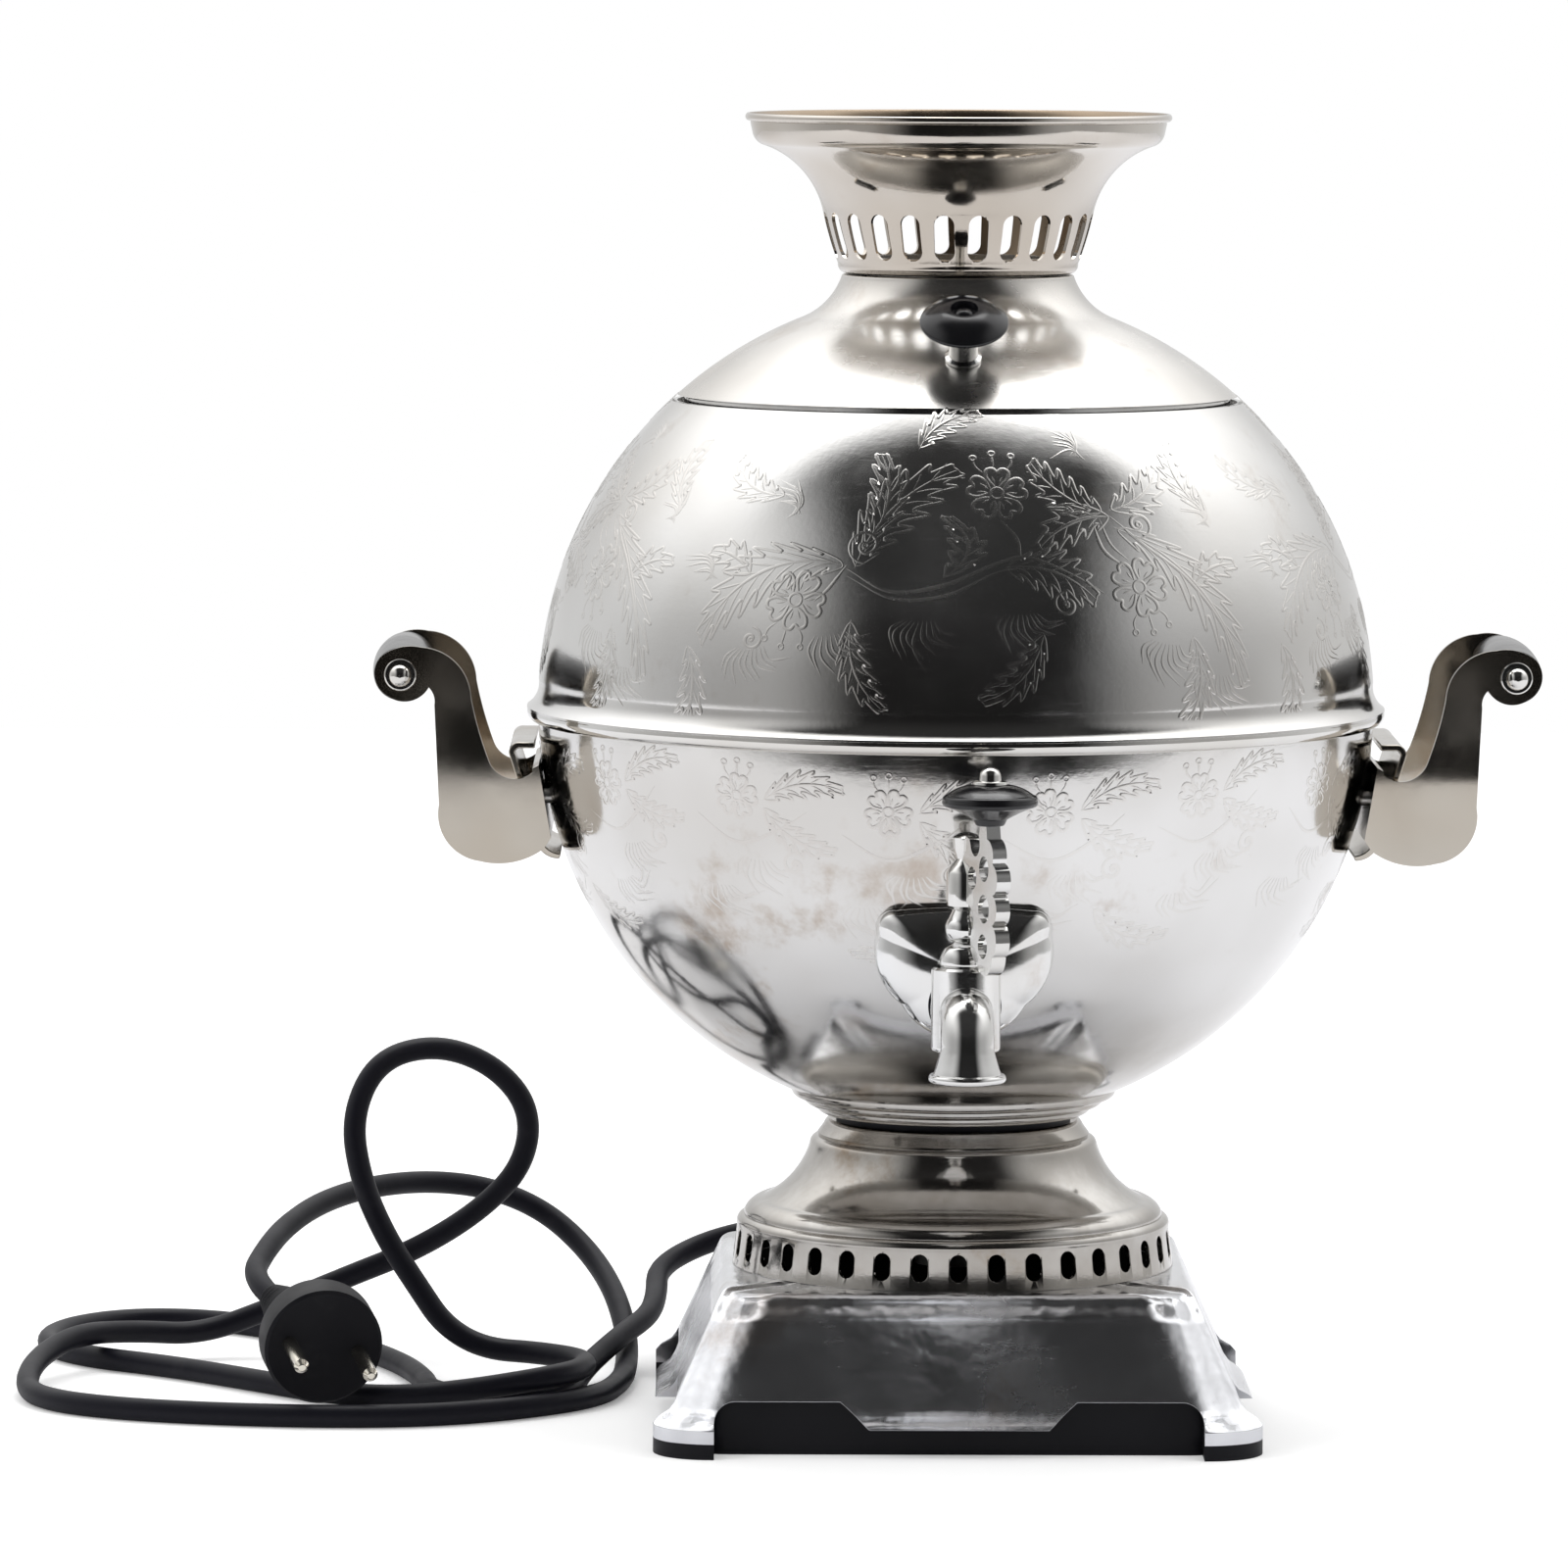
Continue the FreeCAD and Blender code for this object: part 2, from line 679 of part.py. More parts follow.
def base_pan():
    """Black moulded bottom: a tray inside the casting with a pad under each cast foot."""
    half = BASE_WAIST_HALF - BASE_WALL - PAN_RECESS
    corner = BASE_WAIST_CORNER - PAN_RECESS
    tray = frustum((half, corner, 0), (half, corner, PAN_H))
    inside = frustum((half - PAN_WALL, corner - PAN_WALL, PAN_FLOOR_Z + PAN_FLOOR),
                     (half - PAN_WALL, corner - PAN_WALL, PAN_H + 1))
    recess = frustum((half - PAN_WALL, corner - PAN_WALL, -1),
                     (half - PAN_WALL, corner - PAN_WALL, PAN_FLOOR_Z))
    pads = frustum((BASE_FOOT_HALF, BASE_FOOT_CORNER, 0), (BASE_FOOT_HALF, BASE_FOOT_CORNER, PAD_H))
    cross = BASE_FOOT_HALF + 5
    long_cut = Part.makeBox(2 * cross, 2 * NOTCH_OUTER, 20, V(-cross, -NOTCH_OUTER, -5))
    wide_cut = Part.makeBox(2 * NOTCH_OUTER, 2 * cross, 20, V(-NOTCH_OUTER, -cross, -5))
    pads = pads.cut(long_cut).cut(wide_cut)
    pads = pads.cut(inside)
    pan = tray.cut(inside).cut(recess)
    pan = pan.fuse(pads)
    floor_top = PAN_FLOOR_Z + PAN_FLOOR
    pan = pan.fuse([rod(POST_R, p + V(0, 0, floor_top - 0.5), p + V(0, 0, PAN_H)) for p in posts()])
    clearance = PAN_SCREW_R + BOLT_CLEARANCE
    drills = [rod(clearance, p + V(0, 0, -1), p + V(0, 0, PAN_H + 1)) for p in posts()]
    seat, along = gland_seat()
    drills.append(rod(CORD_R + 4.6, seat - along * 9, seat + along))
    return pan.cut(Part.makeCompound(drills)).removeSplitter()


def pan_screws():
    """Four screws up through the pan into the casting."""
    screws = []
    for p in posts():
        head = rod(PAN_SCREW_HEAD_R, p + V(0, 0, PAN_FLOOR_Z - 1.2), p + V(0, 0, PAN_FLOOR_Z))
        shank = rod(PAN_SCREW_R - 0.05, p + V(0, 0, PAN_FLOOR_Z - 1), p + V(0, 0, PAN_H + 10))
        screws.append(head.fuse(shank))
    return Part.makeCompound(screws)


# Heater

def tie_tube():
    """Threaded tube that clamps urn, pedestal and base together."""
    low = BASE_TOP_Z - BASE_WALL - NUT_H - 3
    return ring(TIE_BORE_R, TIE_R, low, FOOT_Z + SHEET)


def clamp_nut():
    """Nut and washer under the roof of the base."""
    roof = BASE_TOP_Z - BASE_WALL
    nut = hexagon(NUT_AF, NUT_H, V(0, 0, roof - NUT_H - 1.5), UP)
    washer = rod(NUT_AF / 2 + 3, V(0, 0, roof - 1.5), V(0, 0, roof))
    return nut.fuse(washer).cut(rod(TIE_R + 0.03, V(0, 0, 0), V(0, 0, roof + 1))).removeSplitter()


def element_flange():
    """Plate that seals the heater into the urn's floor."""
    low = FOOT_Z + SHEET
    return turned((0, low), (ELEMENT_FLANGE_R, low), (ELEMENT_FLANGE_R, low + ELEMENT_FLANGE_H - 0.6),
                  (ELEMENT_FLANGE_R - 0.6, low + ELEMENT_FLANGE_H), (0, low + ELEMENT_FLANGE_H))


def heating_element():
    """Tubular heater: two legs and one open ring just above the urn's floor."""
    foot = FOOT_Z + SHEET + ELEMENT_FLANGE_H
    ring_z = ELEMENT_RING_Z
    reach = math.sqrt(ELEMENT_RING_R ** 2 - ELEMENT_LEG ** 2)
    legs = []
    for side in (-1, 1):
        line, _ = bent_path([V(side * ELEMENT_LEG, 0, foot), V(side * ELEMENT_LEG, 0, ring_z),
                             V(side * ELEMENT_LEG, reach, ring_z)], radius=ELEMENT_BEND)
        legs.append(tube(line, ELEMENT_R))
    start = math.degrees(math.atan2(reach, ELEMENT_LEG))
    loop = Part.makeTorus(ELEMENT_RING_R, ELEMENT_R, V(0, 0, ring_z), UP, 0, 360, 360)
    gap = Part.makeBox(2 * ELEMENT_LEG, ELEMENT_RING_R, 30, V(-ELEMENT_LEG, reach - 20, ring_z - 15))
    loop = loop.cut(gap)
    joints = [Part.makeSphere(ELEMENT_R, V(side * ELEMENT_LEG, reach, ring_z)) for side in (-1, 1)]
    print("heater ring opens at", round(90 - start, 1), "degrees each side of the back")
    return loop.fuse(legs + joints).removeSplitter()


def terminal_block():
    """Moulded block on the pan's floor where the mains lead ends."""
    floor = PAN_FLOOR_Z + PAN_FLOOR
    block = Part.makeBox(44, 20, 15, V(-22, 36, floor))
    wells = [rod(2.5, V(x, 46, floor + 8), V(x, 46, floor + 16)) for x in (-13, 0, 13)]
    return block.cut(Part.makeCompound(wells))


# Handles

def cheek_face():
    """Outline of one handle cheek: a scroll at the grip, an arm and a broad foot."""
    def spot(inward, rise):
        return GRIP_X - inward, GRIP_Z + rise

    return closed_face(
        spot(7.5, -3.4),
        (*spot(8.7, -5.2), *spot(9.0, -8.0)),
        spot(10.2, -34.5),
        (*spot(12.6, -44.6), *spot(21.0, -49.4)),
        (*spot(29.5, -49.7), *spot(38.0, -46.0)),
        spot(39.8, -43.2),
        spot(36.5, -24.0),
        (*spot(29.8, -27.6), *spot(23.2, -22.5)),
        (*spot(20.6, -14.5), *spot(18.6, -6.0)),
        (*spot(14.4, 3.4), *spot(5.5, 7.2)),
        (*spot(-0.5, 7.1), *spot(-5.2, 4.7)),
        (*spot(-6.7, -1.2), *spot(-3.2, -5.8)),
        (*spot(2.6, -7.0), *spot(7.5, -3.4)),
    )


def web_face():
    """Section of the plate that joins the two cheeks at the urn."""
    return closed_face(
        (GRIP_X - 39.8, GRIP_Z - 43.2),
        (GRIP_X - 36.5, GRIP_Z - 24.0),
        (GRIP_X - 36.5 + CHEEK, GRIP_Z - 24.0 - 0.8),
        (GRIP_X - 39.8 + CHEEK, GRIP_Z - 43.2 - 0.6),
    )


def handle_frame():
    """Bent sheet frame: two cheeks and the web between them."""
    cheek = cheek_face().extrude(V(0, CHEEK, 0))
    near = cheek.copy()
    near.translate(V(0, -CHEEK_Y, 0))
    far = cheek.copy()
    far.translate(V(0, CHEEK_Y - CHEEK, 0))
    web = web_face().extrude(V(0, 2 * CHEEK_Y, 0))
    web.translate(V(0, -CHEEK_Y, 0))
    frame = near.fuse([far, web])
    drill = rod(BOLT_R + BOLT_CLEARANCE, V(GRIP_X, -CHEEK_Y - 5, GRIP_Z), V(GRIP_X, CHEEK_Y + 5, GRIP_Z))
    seats = [rod(HANDLE_SCREW_HEAD_R + 0.25, V(HEAD_SEAT_X, y, HANDLE_SCREW_Z),
                 V(HEAD_SEAT_X + 6, y, HANDLE_SCREW_Z)) for y in (-HANDLE_SCREW_Y, HANDLE_SCREW_Y)]
    return frame.cut(Part.makeCompound([drill] + seats + screw_holes())).removeSplitter()


def handle_grip():
    """Barrel-shaped black grip between the cheeks."""
    half = CHEEK_Y - CHEEK
    bore = BOLT_R + BOLT_CLEARANCE
    barrel = turned((bore, -half), (GRIP_END_R - 0.4, -half), (GRIP_END_R, -half + 0.6),
                    (GRIP_MID_R, 0, GRIP_END_R, half - 0.6), (GRIP_END_R - 0.4, half), (bore, half))
    barrel.rotate(CENTRE, V(1, 0, 0), 90)
    barrel.translate(V(GRIP_X, 0, GRIP_Z))
    return barrel


def on_bolt(shape):
    """Place a piece modelled about the Z axis at all four ends of the two grip bolts."""
    ends = []
    for x in (-GRIP_X, GRIP_X):
        for side in (-1, 1):
            piece = shape.copy()
            along = V(0, side, 0)
            piece.Placement = FreeCAD.Placement(V(x, side * CHEEK_Y, GRIP_Z), FreeCAD.Rotation(UP, along))
            ends.append(piece)
    return Part.makeCompound(ends)


def grip_washers():
    """Washers under the cap nuts."""
    return on_bolt(turned((BOLT_R + 0.05, 0), (WASHER_R, 0), (WASHER_R, WASHER_H - 0.3),
                          (WASHER_R - 0.3, WASHER_H), (BOLT_R + 0.05, WASHER_H)))


def grip_cap_nuts():
    """Domed nuts on both ends of each grip bolt."""
    low = WASHER_H
    return on_bolt(turned((BOLT_R + 0.02, low), (CAP_R, low), (CAP_R, low + 1.6),
                          dome(CAP_R, low + 1.6, 2.8), (0, low + 3.0),
                          (BOLT_R + 0.02, low + 3.0)))


def grip_bolts():
    """Long studs through cheeks and grips."""
    reach = CHEEK_Y + WASHER_H + 2.6
    return Part.makeCompound([rod(BOLT_R, V(x, -reach, GRIP_Z), V(x, reach, GRIP_Z))
                              for x in (-GRIP_X, GRIP_X)])


def handle_bracket():
    """Cover plate over the fixing screws, with both ends turned in to the urn."""
    wall = BRACKET_SHEET
    top_z = 183.2
    face = closed_face(
        (111.9, top_z),
        (115.8, top_z),
        (118.0, top_z - 0.7, 118.8, top_z - 3.0),
        (111.9, 159.2),
        (110.7, 155.0, 105.4, 152.4),
        (105.0, 152.4 + wall - 0.2),
        (109.3, 155.9, 110.4, 159.6),
        (117.2, top_z - 3.0),
        (116.7, top_z - 1.8, 115.6, top_z - wall),
        (111.9, top_z - wall),
    )
    plate = face.extrude(V(0, 2 * BRACKET_HALF, 0))
    plate.translate(V(0, -BRACKET_HALF, 0))
    return plate


def handle_screws():
    """Screws that hold the frames to the urn."""
    screws = []
    for side in (-1, 1):
        for y in (-HANDLE_SCREW_Y, HANDLE_SCREW_Y):
            seat = V(side * HEAD_SEAT_X, y, HANDLE_SCREW_Z)
            head = rod(HANDLE_SCREW_HEAD_R, seat, seat + V(side * 1.2, 0, 0))
            shank = rod(HANDLE_SCREW_R, seat + V(side * 0.5, 0, 0), seat - V(side * 12, 0, 0))
            screws.append(head.fuse(shank))
    return Part.makeCompound(screws)


def handle_nuts():
    """Nuts on the fixing screws inside the urn."""
    nuts = []
    seat_x = math.sqrt((BALL_R - SHEET) ** 2 - (HANDLE_SCREW_Z - BALL_Z - 4.6) ** 2
                       - (HANDLE_SCREW_Y + 4.6) ** 2)
    for side in (-1, 1):
        for y in (-HANDLE_SCREW_Y, HANDLE_SCREW_Y):
            foot = V(side * (seat_x - 0.2), y, HANDLE_SCREW_Z)
            nut = hexagon(7.8, 3.2, foot, V(-side, 0, 0))
            bore = rod(HANDLE_SCREW_R + 0.03, foot + V(side * 2, 0, 0), foot - V(side * 6, 0, 0))
            nuts.append(nut.cut(bore))
    return Part.makeCompound(nuts)


# Tap

def tap_boss():
    """Threaded sleeve soldered into the urn's wall."""
    start = V(0, BOSS_IN_Y, TAP_Z)
    end = V(0, BOSS_OUT_Y, TAP_Z)
    return rod(BOSS_R, start, end).cut(rod(SHANK_R + 0.05, start + V(0, 1, 0), end - V(0, 1, 0)))


def tap_washer():
    """Sealing ring between sleeve and tap."""
    start = V(0, BOSS_OUT_Y, TAP_Z)
    end = V(0, BOSS_OUT_Y - 1.4, TAP_Z)
    return rod(BOSS_R + 0.4, start, end).cut(rod(SHANK_R + 0.05, start + V(0, 1, 0), end - V(0, 1, 0)))


def plug_taper(clearance):
    """The tap's tapered seat, widened by a clearance, as a cutter or a plug blank."""
    low = BARREL_FOOT_Z - 0.6
    high = BARREL_TOP_Z + 0.2
    cone = Part.makeCone(PLUG_FOOT_R + clearance, PLUG_TOP_R + clearance, high - low, V(0, TAP_Y, low), UP)
    return cone


def spout_line():
    """Centre line of the way from the tap's barrel down through the spout."""
    corner = V(0, SPOUT_Y, TAP_Z)
    line, _ = bent_path([V(0, TAP_Y, TAP_Z), corner, V(0, SPOUT_Y, SPOUT_FOOT_Z + 4)], radius=SPOUT_BEND)
    return line


def tap_body():
    """Tap casting: shank, upright barrel with a tapered seat, elbow and flared spout."""
    shank = rod(SHANK_R, V(0, BOSS_IN_Y + 2, TAP_Z), V(0, TAP_Y, TAP_Z))
    shoulder = rod(BOSS_R, V(0, BOSS_OUT_Y - 1.4, TAP_Z), V(0, TAP_Y + 2, TAP_Z))
    barrel = turned((0, BARREL_FOOT_Z), (BARREL_R - 1.2, BARREL_FOOT_Z),
                    (BARREL_R - 0.3, BARREL_FOOT_Z + 0.4, BARREL_R, BARREL_FOOT_Z + 1.4),
                    (BARREL_R, BARREL_TOP_Z - 0.7), (BARREL_R - 0.7, BARREL_TOP_Z), (0, BARREL_TOP_Z))
    barrel.translate(V(0, TAP_Y, 0))
    elbow = tube(spout_line(), SPOUT_R)
    foot = SPOUT_FOOT_Z
    root = TAP_Z - SPOUT_BEND
    nozzle = turned((0, root), (SPOUT_R, root), (SPOUT_R + 0.8, root - 3.0),
                    (SPOUT_FOOT_R, foot + LIP_H + 0.4), (SPOUT_FOOT_R + 0.1, foot + LIP_H),
                    (LIP_R - 0.4, foot + LIP_H - 0.1),
                    (LIP_R, foot + 1.2, LIP_R - 0.9, foot), (0, foot))
    nozzle.translate(V(0, SPOUT_Y, 0))
    body = shank.fuse(barrel)
    for piece in (shoulder, elbow, nozzle):
        body = body.fuse(piece)
    way_in = rod(BORE_R, V(0, BOSS_IN_Y + 3, TAP_Z), V(0, TAP_Y, TAP_Z))
    way_out = tube(spout_line(), BORE_R)
    mouth = Part.makeCone(BORE_R + 2.6, BORE_R - 0.2, 7, V(0, SPOUT_Y, foot - 0.01), UP)
    for cutter in (way_in, way_out, plug_taper(PLUG_CLEARANCE), mouth):
        body = body.cut(cutter)
    return body.removeSplitter()


def wing():
    """Flat openwork wing of the key, in its own upright plane, before it is turned."""
    face = closed_face(
        (2.0, 149.5),
        (7.5, 149.8, 9.6, 145.4),
        (8.0, 139.6, 12.6, 135.6),
        (18.4, 133.4, 22.6, 138.4),
        (25.2, 142.8, 22.2, 146.6),
        (25.4, 150.2, 22.6, 154.2),
        (25.8, 158.2, 22.6, 162.0),
        (22.4, 166.0, 18.8, 168.2),
        (18.2, TAP_KNOB_Z),
        (13.8, TAP_KNOB_Z),
        (13.2, 168.2),
        (10.8, 163.2, 7.4, 165.8),
        (4.6, 167.6, 2.0, 165.4),
    )
    plate = face.extrude(V(0, WING_T, 0))
    plate.translate(V(0, -WING_T / 2, 0))
    holes = [rod(r, V(u, -9, z), V(u, 9, z))
             for u, z, r in ((16.0, 140.6, 3.1), (16.6, 150.2, 3.6), (16.6, 160.4, 3.2), (8.6, 157.4, 2.9))]
    return plate.cut(Part.makeCompound(holes))


def on_key(shape):
    """Turn a piece from the XZ plane to where the closed key points and set it on the plug's axis."""
    placed = shape.copy()
    placed.rotate(CENTRE, UP, WING_TURN - 90)
    placed.translate(V(0, TAP_Y, 0))
    return placed


def tap_key():
    """Key casting: tapered plug with its cross bore, turned column and openwork wing."""
    plug = plug_taper(0)
    column = turned(
        (0, BARREL_TOP_Z + 0.1),
        (PLUG_TOP_R + 0.2, BARREL_TOP_Z + 0.1),
        (6.7, BARREL_TOP_Z + 0.5),
        (6.6, 136.4, 5.4, 138.9),
        (3.2, 140.2),
        (5.4, 142.8, 4.6, 146.2),
        (3.4, 148.6),
        (5.0, 149.6),
        (5.2, 151.0),
        (5.2, 158.0),
        (4.4, 159.4),
        (2.6, 161.6),
        (3.4, 164.0),
        (3.6, 167.0),
        dome(3.6, 167.0, 1.4),
    )
    column.translate(V(0, TAP_Y, 0))
    stem_low = BARREL_FOOT_Z - 6.4
    stem = rod(2.6, V(0, TAP_Y, stem_low), V(0, TAP_Y, BARREL_FOOT_Z))
    key = plug.fuse([column, stem, on_key(wing())])
    stud = on_key(rod(1.8, V(TAP_KNOB_U, 0, TAP_KNOB_Z - 3), V(TAP_KNOB_U, 0, TAP_KNOB_Z + 13.2)))
    key = key.fuse(stud)
    cross = rod(BORE_R, V(-12, TAP_Y, TAP_Z), V(12, TAP_Y, TAP_Z))
    return key.cut(cross).removeSplitter()


def tap_knob():
    """Black disc knob on the key: a cone below and a low dome above."""
    z = TAP_KNOB_Z
    r = TAP_KNOB_R
    knob = turned((1.85, z), (3.6, z), (4.4, z + 1.6), (7.4, z + 3.2, r - 0.9, z + 4.8),
                  (r, z + 5.4, r, z + 6.4), (r - 0.2, z + 7.3, r - 1.0, z + 7.8),
                  (r * 0.6, z + 9.9, 4.6, z + 10.4), (1.85, z + 10.4))
    knob.translate(V(TAP_KNOB_U, 0, 0))
    return on_key(knob)


def tap_knob_nut():
    """Washer and domed nut on top of the knob."""
    z = TAP_KNOB_Z + 10.4
    nut = turned((1.82, z), (4.3, z), (4.3, z + 0.9), (2.8, z + 0.9), (2.8, z + 2.4),
                 dome(2.8, z + 2.4, 2.2), (0, z + 3.0), (1.82, z + 3.0))
    nut.translate(V(TAP_KNOB_U, 0, 0))
    return on_key(nut)


def tap_retainer():
    """Spring washer and nut that pull the plug down into its seat."""
    top = BARREL_FOOT_Z - 0.7
    washer = turned((2.65, top - 0.8), (5.6, top - 0.8), (5.6, top), (2.65, top))
    washer.translate(V(0, TAP_Y, 0))
    nut = hexagon(9.0, 3.0, V(0, TAP_Y, top - 3.8), UP)
    nut = nut.cut(rod(2.65, V(0, TAP_Y, top - 8), V(0, TAP_Y, top + 1)))
    return nut.fuse(washer).removeSplitter()


def shield_outline(grow):
    """Front view of the shield, grown by an amount, as a prism along Y."""
    top = SHIELD_TOP_Z + grow
    half = SHIELD_HALF + grow
    foot = SHIELD_FOOT_Z - grow
    face = closed_face(
        (-half + 5.0, top - 0.6),
        (0, top + 0.4, half - 5.0, top - 0.6),
        (half - 0.9, top - 2.4, half, top - 7.0),
        (half - 0.4, top - 17.0, half - 6.6, top - 25.5),
        (half - 12.0, top - 31.4, 0, foot),
        (12.0 - half, top - 31.4, 6.6 - half, top - 25.5),
        (0.4 - half, top - 17.0, -half, top - 7.0),
        (0.9 - half, top - 2.4, 5.0 - half, top - 0.6),
    )
    face.translate(V(0, -130, 0))
    return face.extrude(V(0, 90, 0))


def shield_form(inset):
    """Side view of the shield's bulge with its curve in plan."""
    front = SHIELD_FRONT_Y + inset
    side = Part.Face(Part.Wire([
        Part.makeLine(V(0, -60, SHIELD_TOP_Z + 2), V(0, front + 5.5, SHIELD_TOP_Z + 2)),
        Part.Arc(V(0, front + 5.5, SHIELD_TOP_Z + 2), V(0, front, SHIELD_TOP_Z - 15),
                 V(0, front + 7.5, SHIELD_FOOT_Z + 5.4)).toShape(),
        Part.Arc(V(0, front + 7.5, SHIELD_FOOT_Z + 5.4), V(0, front + 13.5, SHIELD_FOOT_Z + 1.4 + inset / 2),
                 V(0, front + 27, SHIELD_FOOT_Z - 1 + inset)).toShape(),
        Part.makeLine(V(0, front + 27, SHIELD_FOOT_Z - 1 + inset), V(0, -60, SHIELD_FOOT_Z - 1 + inset)),
        Part.makeLine(V(0, -60, SHIELD_FOOT_Z - 1 + inset), V(0, -60, SHIELD_TOP_Z + 2)),
    ]))
    side.translate(V(-40, 0, 0))
    bulge = side.extrude(V(80, 0, 0))
    plan = Part.makeCylinder(SHIELD_PLAN_R, 60, V(0, front + SHIELD_PLAN_R, SHIELD_FOOT_Z - 10), UP)
    return bulge.common(plan)


def escutcheon():
    """Pressed shield that covers the sleeve's solder joint."""
    outer = shield_outline(0).common(shield_form(0))
    inner = shield_outline(-SHIELD_SHEET).common(shield_form(SHIELD_SHEET))
    ball = Part.makeSphere(BALL_R + 0.25, V(0, 0, BALL_Z))
    shell = outer.cut(inner).cut(ball)
    hole = rod(BOSS_R + 0.6, V(0, -70, TAP_Z), V(0, -120, TAP_Z))
    shell = shell.cut(hole)
    solids = sorted(shell.Solids, key=lambda solid: solid.Volume)
    return solids[-1]


# Mains lead and plug

def gland_seat():
    """Where the lead leaves the sloping back wall, and the direction square to that wall."""
    slope = (BASE_WAIST_HALF - BASE_TOP_HALF) / (BASE_TOP_Z - BASE_WAIST_Z)
    wall_y = BASE_WAIST_HALF - (GLAND_Z - BASE_WAIST_Z) * slope
    return V(GLAND_X, wall_y, GLAND_Z), V(0, 1, slope).normalize()


def cord_gland():
    """Rubber strain relief in the back wall of the base."""
    boot = turned(
        (CORD_R + 0.02, -8.0),
        (CORD_R + 4.2, -8.0),
        (CORD_R + 4.2, -BASE_WALL - 0.6),
        (CORD_R + 2.2, -BASE_WALL - 0.6),
        (CORD_R + 2.2, 0.05),
        (CORD_R + 3.6, 0.05),
        (CORD_R + 3.4, 3.0),
        (CORD_R + 0.9, GLAND_LENGTH),
        (CORD_R + 0.02, GLAND_LENGTH),
    )
    seat, along = gland_seat()
    boot.Placement = FreeCAD.Placement(seat, FreeCAD.Rotation(UP, along))
    return boot


def plug_frame():
    """Unit directions of the plug: the way its pins point, its right and its up."""
    along = V(PLUG_FACES).normalize()
    right = UP.cross(along).normalize()
    rise = along.cross(right)
    boot = V(PLUG_BOOT_ALONG).normalize()
    return along, right, rise, boot


def cord_route():
    """Hand-set points of the lead, from the base to the plug."""
    _, _, _, boot = plug_frame()
    seat, along = gland_seat()
    z = CORD_Z
    end = PLUG_CENTRE + boot * PLUG_BOOT_L
    points = [
        seat - along * 7, seat + along * 31, V(-52, 117, 34), V(-68, 118.5, 29.5), V(-80, 108, 24),
        V(-80, 92, 18.5), V(-82, 78, 15), V(-89, 64, 12), V(-98, 47, 6.5), V(-102, 31, z),
        V(-102.5, 17, z), V(-113, 4.5, z), V(-129, 4, z), V(-141, 16.5, z), V(-143, 38, z),
        V(-150, 66, z), V(-162, 94, z), V(-181, 123, z), V(-204, 147, z), V(-230, 151, z),
        V(-248, 131, z), V(-252, 102, z), V(-239, 78, z), V(-214, 60, z), V(-190, 36, z),
        V(-169, 13, z), V(-150, 0, 4), V(-131, -5, 6.5), V(-112, -5, 9.6), V(-99, 8, 10.4),
        V(-99, 26, 10.4), V(-112, 39, 10.4), V(-127, 42, 11), V(-138, 45, 17), V(-145, 48, 27),
        V(-154, 52, 40), V(-161, 57, 55), V(-164, 63, 72), V(-157, 71, 87), V(-141, 79, 90.5),
        V(-125, 85, 84), V(-115, 90, 71), V(-117, 93, 55), V(-129, 96, 42), V(-147, 98, 30.5),
        V(-168, 99, 22), V(-187, 98, 14), V(-207, 94, 7), V(-224, 84, 9.4), V(-240, 68, 11),
        V(-250, 46, 7), V(-251, 20, z), V(-243, -1, z), V(-225, -15, z), V(-199, -24, z),
        V(-167, -29, z), V(-138, -26, z), V(-114, -12, z), V(-95, 8, z), V(-89.5, 33, z),
        V(-88, 59, z), V(-88, 82, 9), V(-92, 105, 18.5), V(-100, 121, 28), V(-112, 129, 37.5),
        V(-127, 128, 44), V(-144, 120, 47), V(-160, 104, 47.5), V(-173, 86, 45.5),
        V(-182, 66, 41.5), V(-187, 47, 37), end + boot * 12, end,
    ]
    return points


def cord():
    """The free lead as one tube."""
    points = cord_route()
    line, radii = bent_path(points)
    length = line.Length
    lead = tube(line, CORD_R)
    section = math.pi * CORD_R ** 2
    print("lead length", round(length, 1), "bends", [round(r) for r in radii])
    print("lead volume over section times length", round(lead.Volume / (section * length), 4))
    return lead


def plug_body():
    """Round moulded mains plug with a domed back and a boss for the boot."""
    along, _, _, boot = plug_frame()
    half = PLUG_T / 2
    disc = turned((0, -half - 3.0), (1.0, -half - 3.0), (7.6, -half - 2.5, PLUG_R - 3.0, -half), (PLUG_R - 0.6, -half + 2.2),
                  (PLUG_R, -half + 4.0), (PLUG_R, half - 0.8), (PLUG_R - 0.8, half), (0, half))
    disc.Placement = FreeCAD.Placement(PLUG_CENTRE, FreeCAD.Rotation(UP, along))
    boss = Part.makeCone(8.6, 6.6, PLUG_BOOT_L - 8, PLUG_CENTRE, boot)
    ends = rod(9, PLUG_CENTRE + along * (half - 0.01), PLUG_CENTRE + along * (half + 20))
    body = disc.fuse(boss.cut(ends))
    sockets = [rod(PLUG_PIN_R, foot - along * 6, foot + along) for foot in pin_feet()]
    return body.cut(Part.makeCompound(sockets)).removeSplitter()


def pin_feet():
    """Where the two pins leave the plug's face."""
    along, right, rise, _ = plug_frame()
    across = (right - rise * 0.16).normalize()
    face = PLUG_CENTRE + along * (PLUG_T / 2)
    return [face + across * (side * PLUG_PIN_GAP / 2) for side in (-1, 1)]


def plug_pins():
    """Two round contact pins."""
    along, _, _, _ = plug_frame()
    pins = []
    for foot in pin_feet():
        pin = rod(PLUG_PIN_R - 0.02, foot - along * 5.9, foot + along * (PLUG_PIN_L - 1.5))
        tip = Part.makeCone(PLUG_PIN_R - 0.02, 1.0, 1.5, foot + along * (PLUG_PIN_L - 1.5), along)
        pins.append(pin.fuse(tip).removeSplitter())
    return Part.makeCompound(pins)


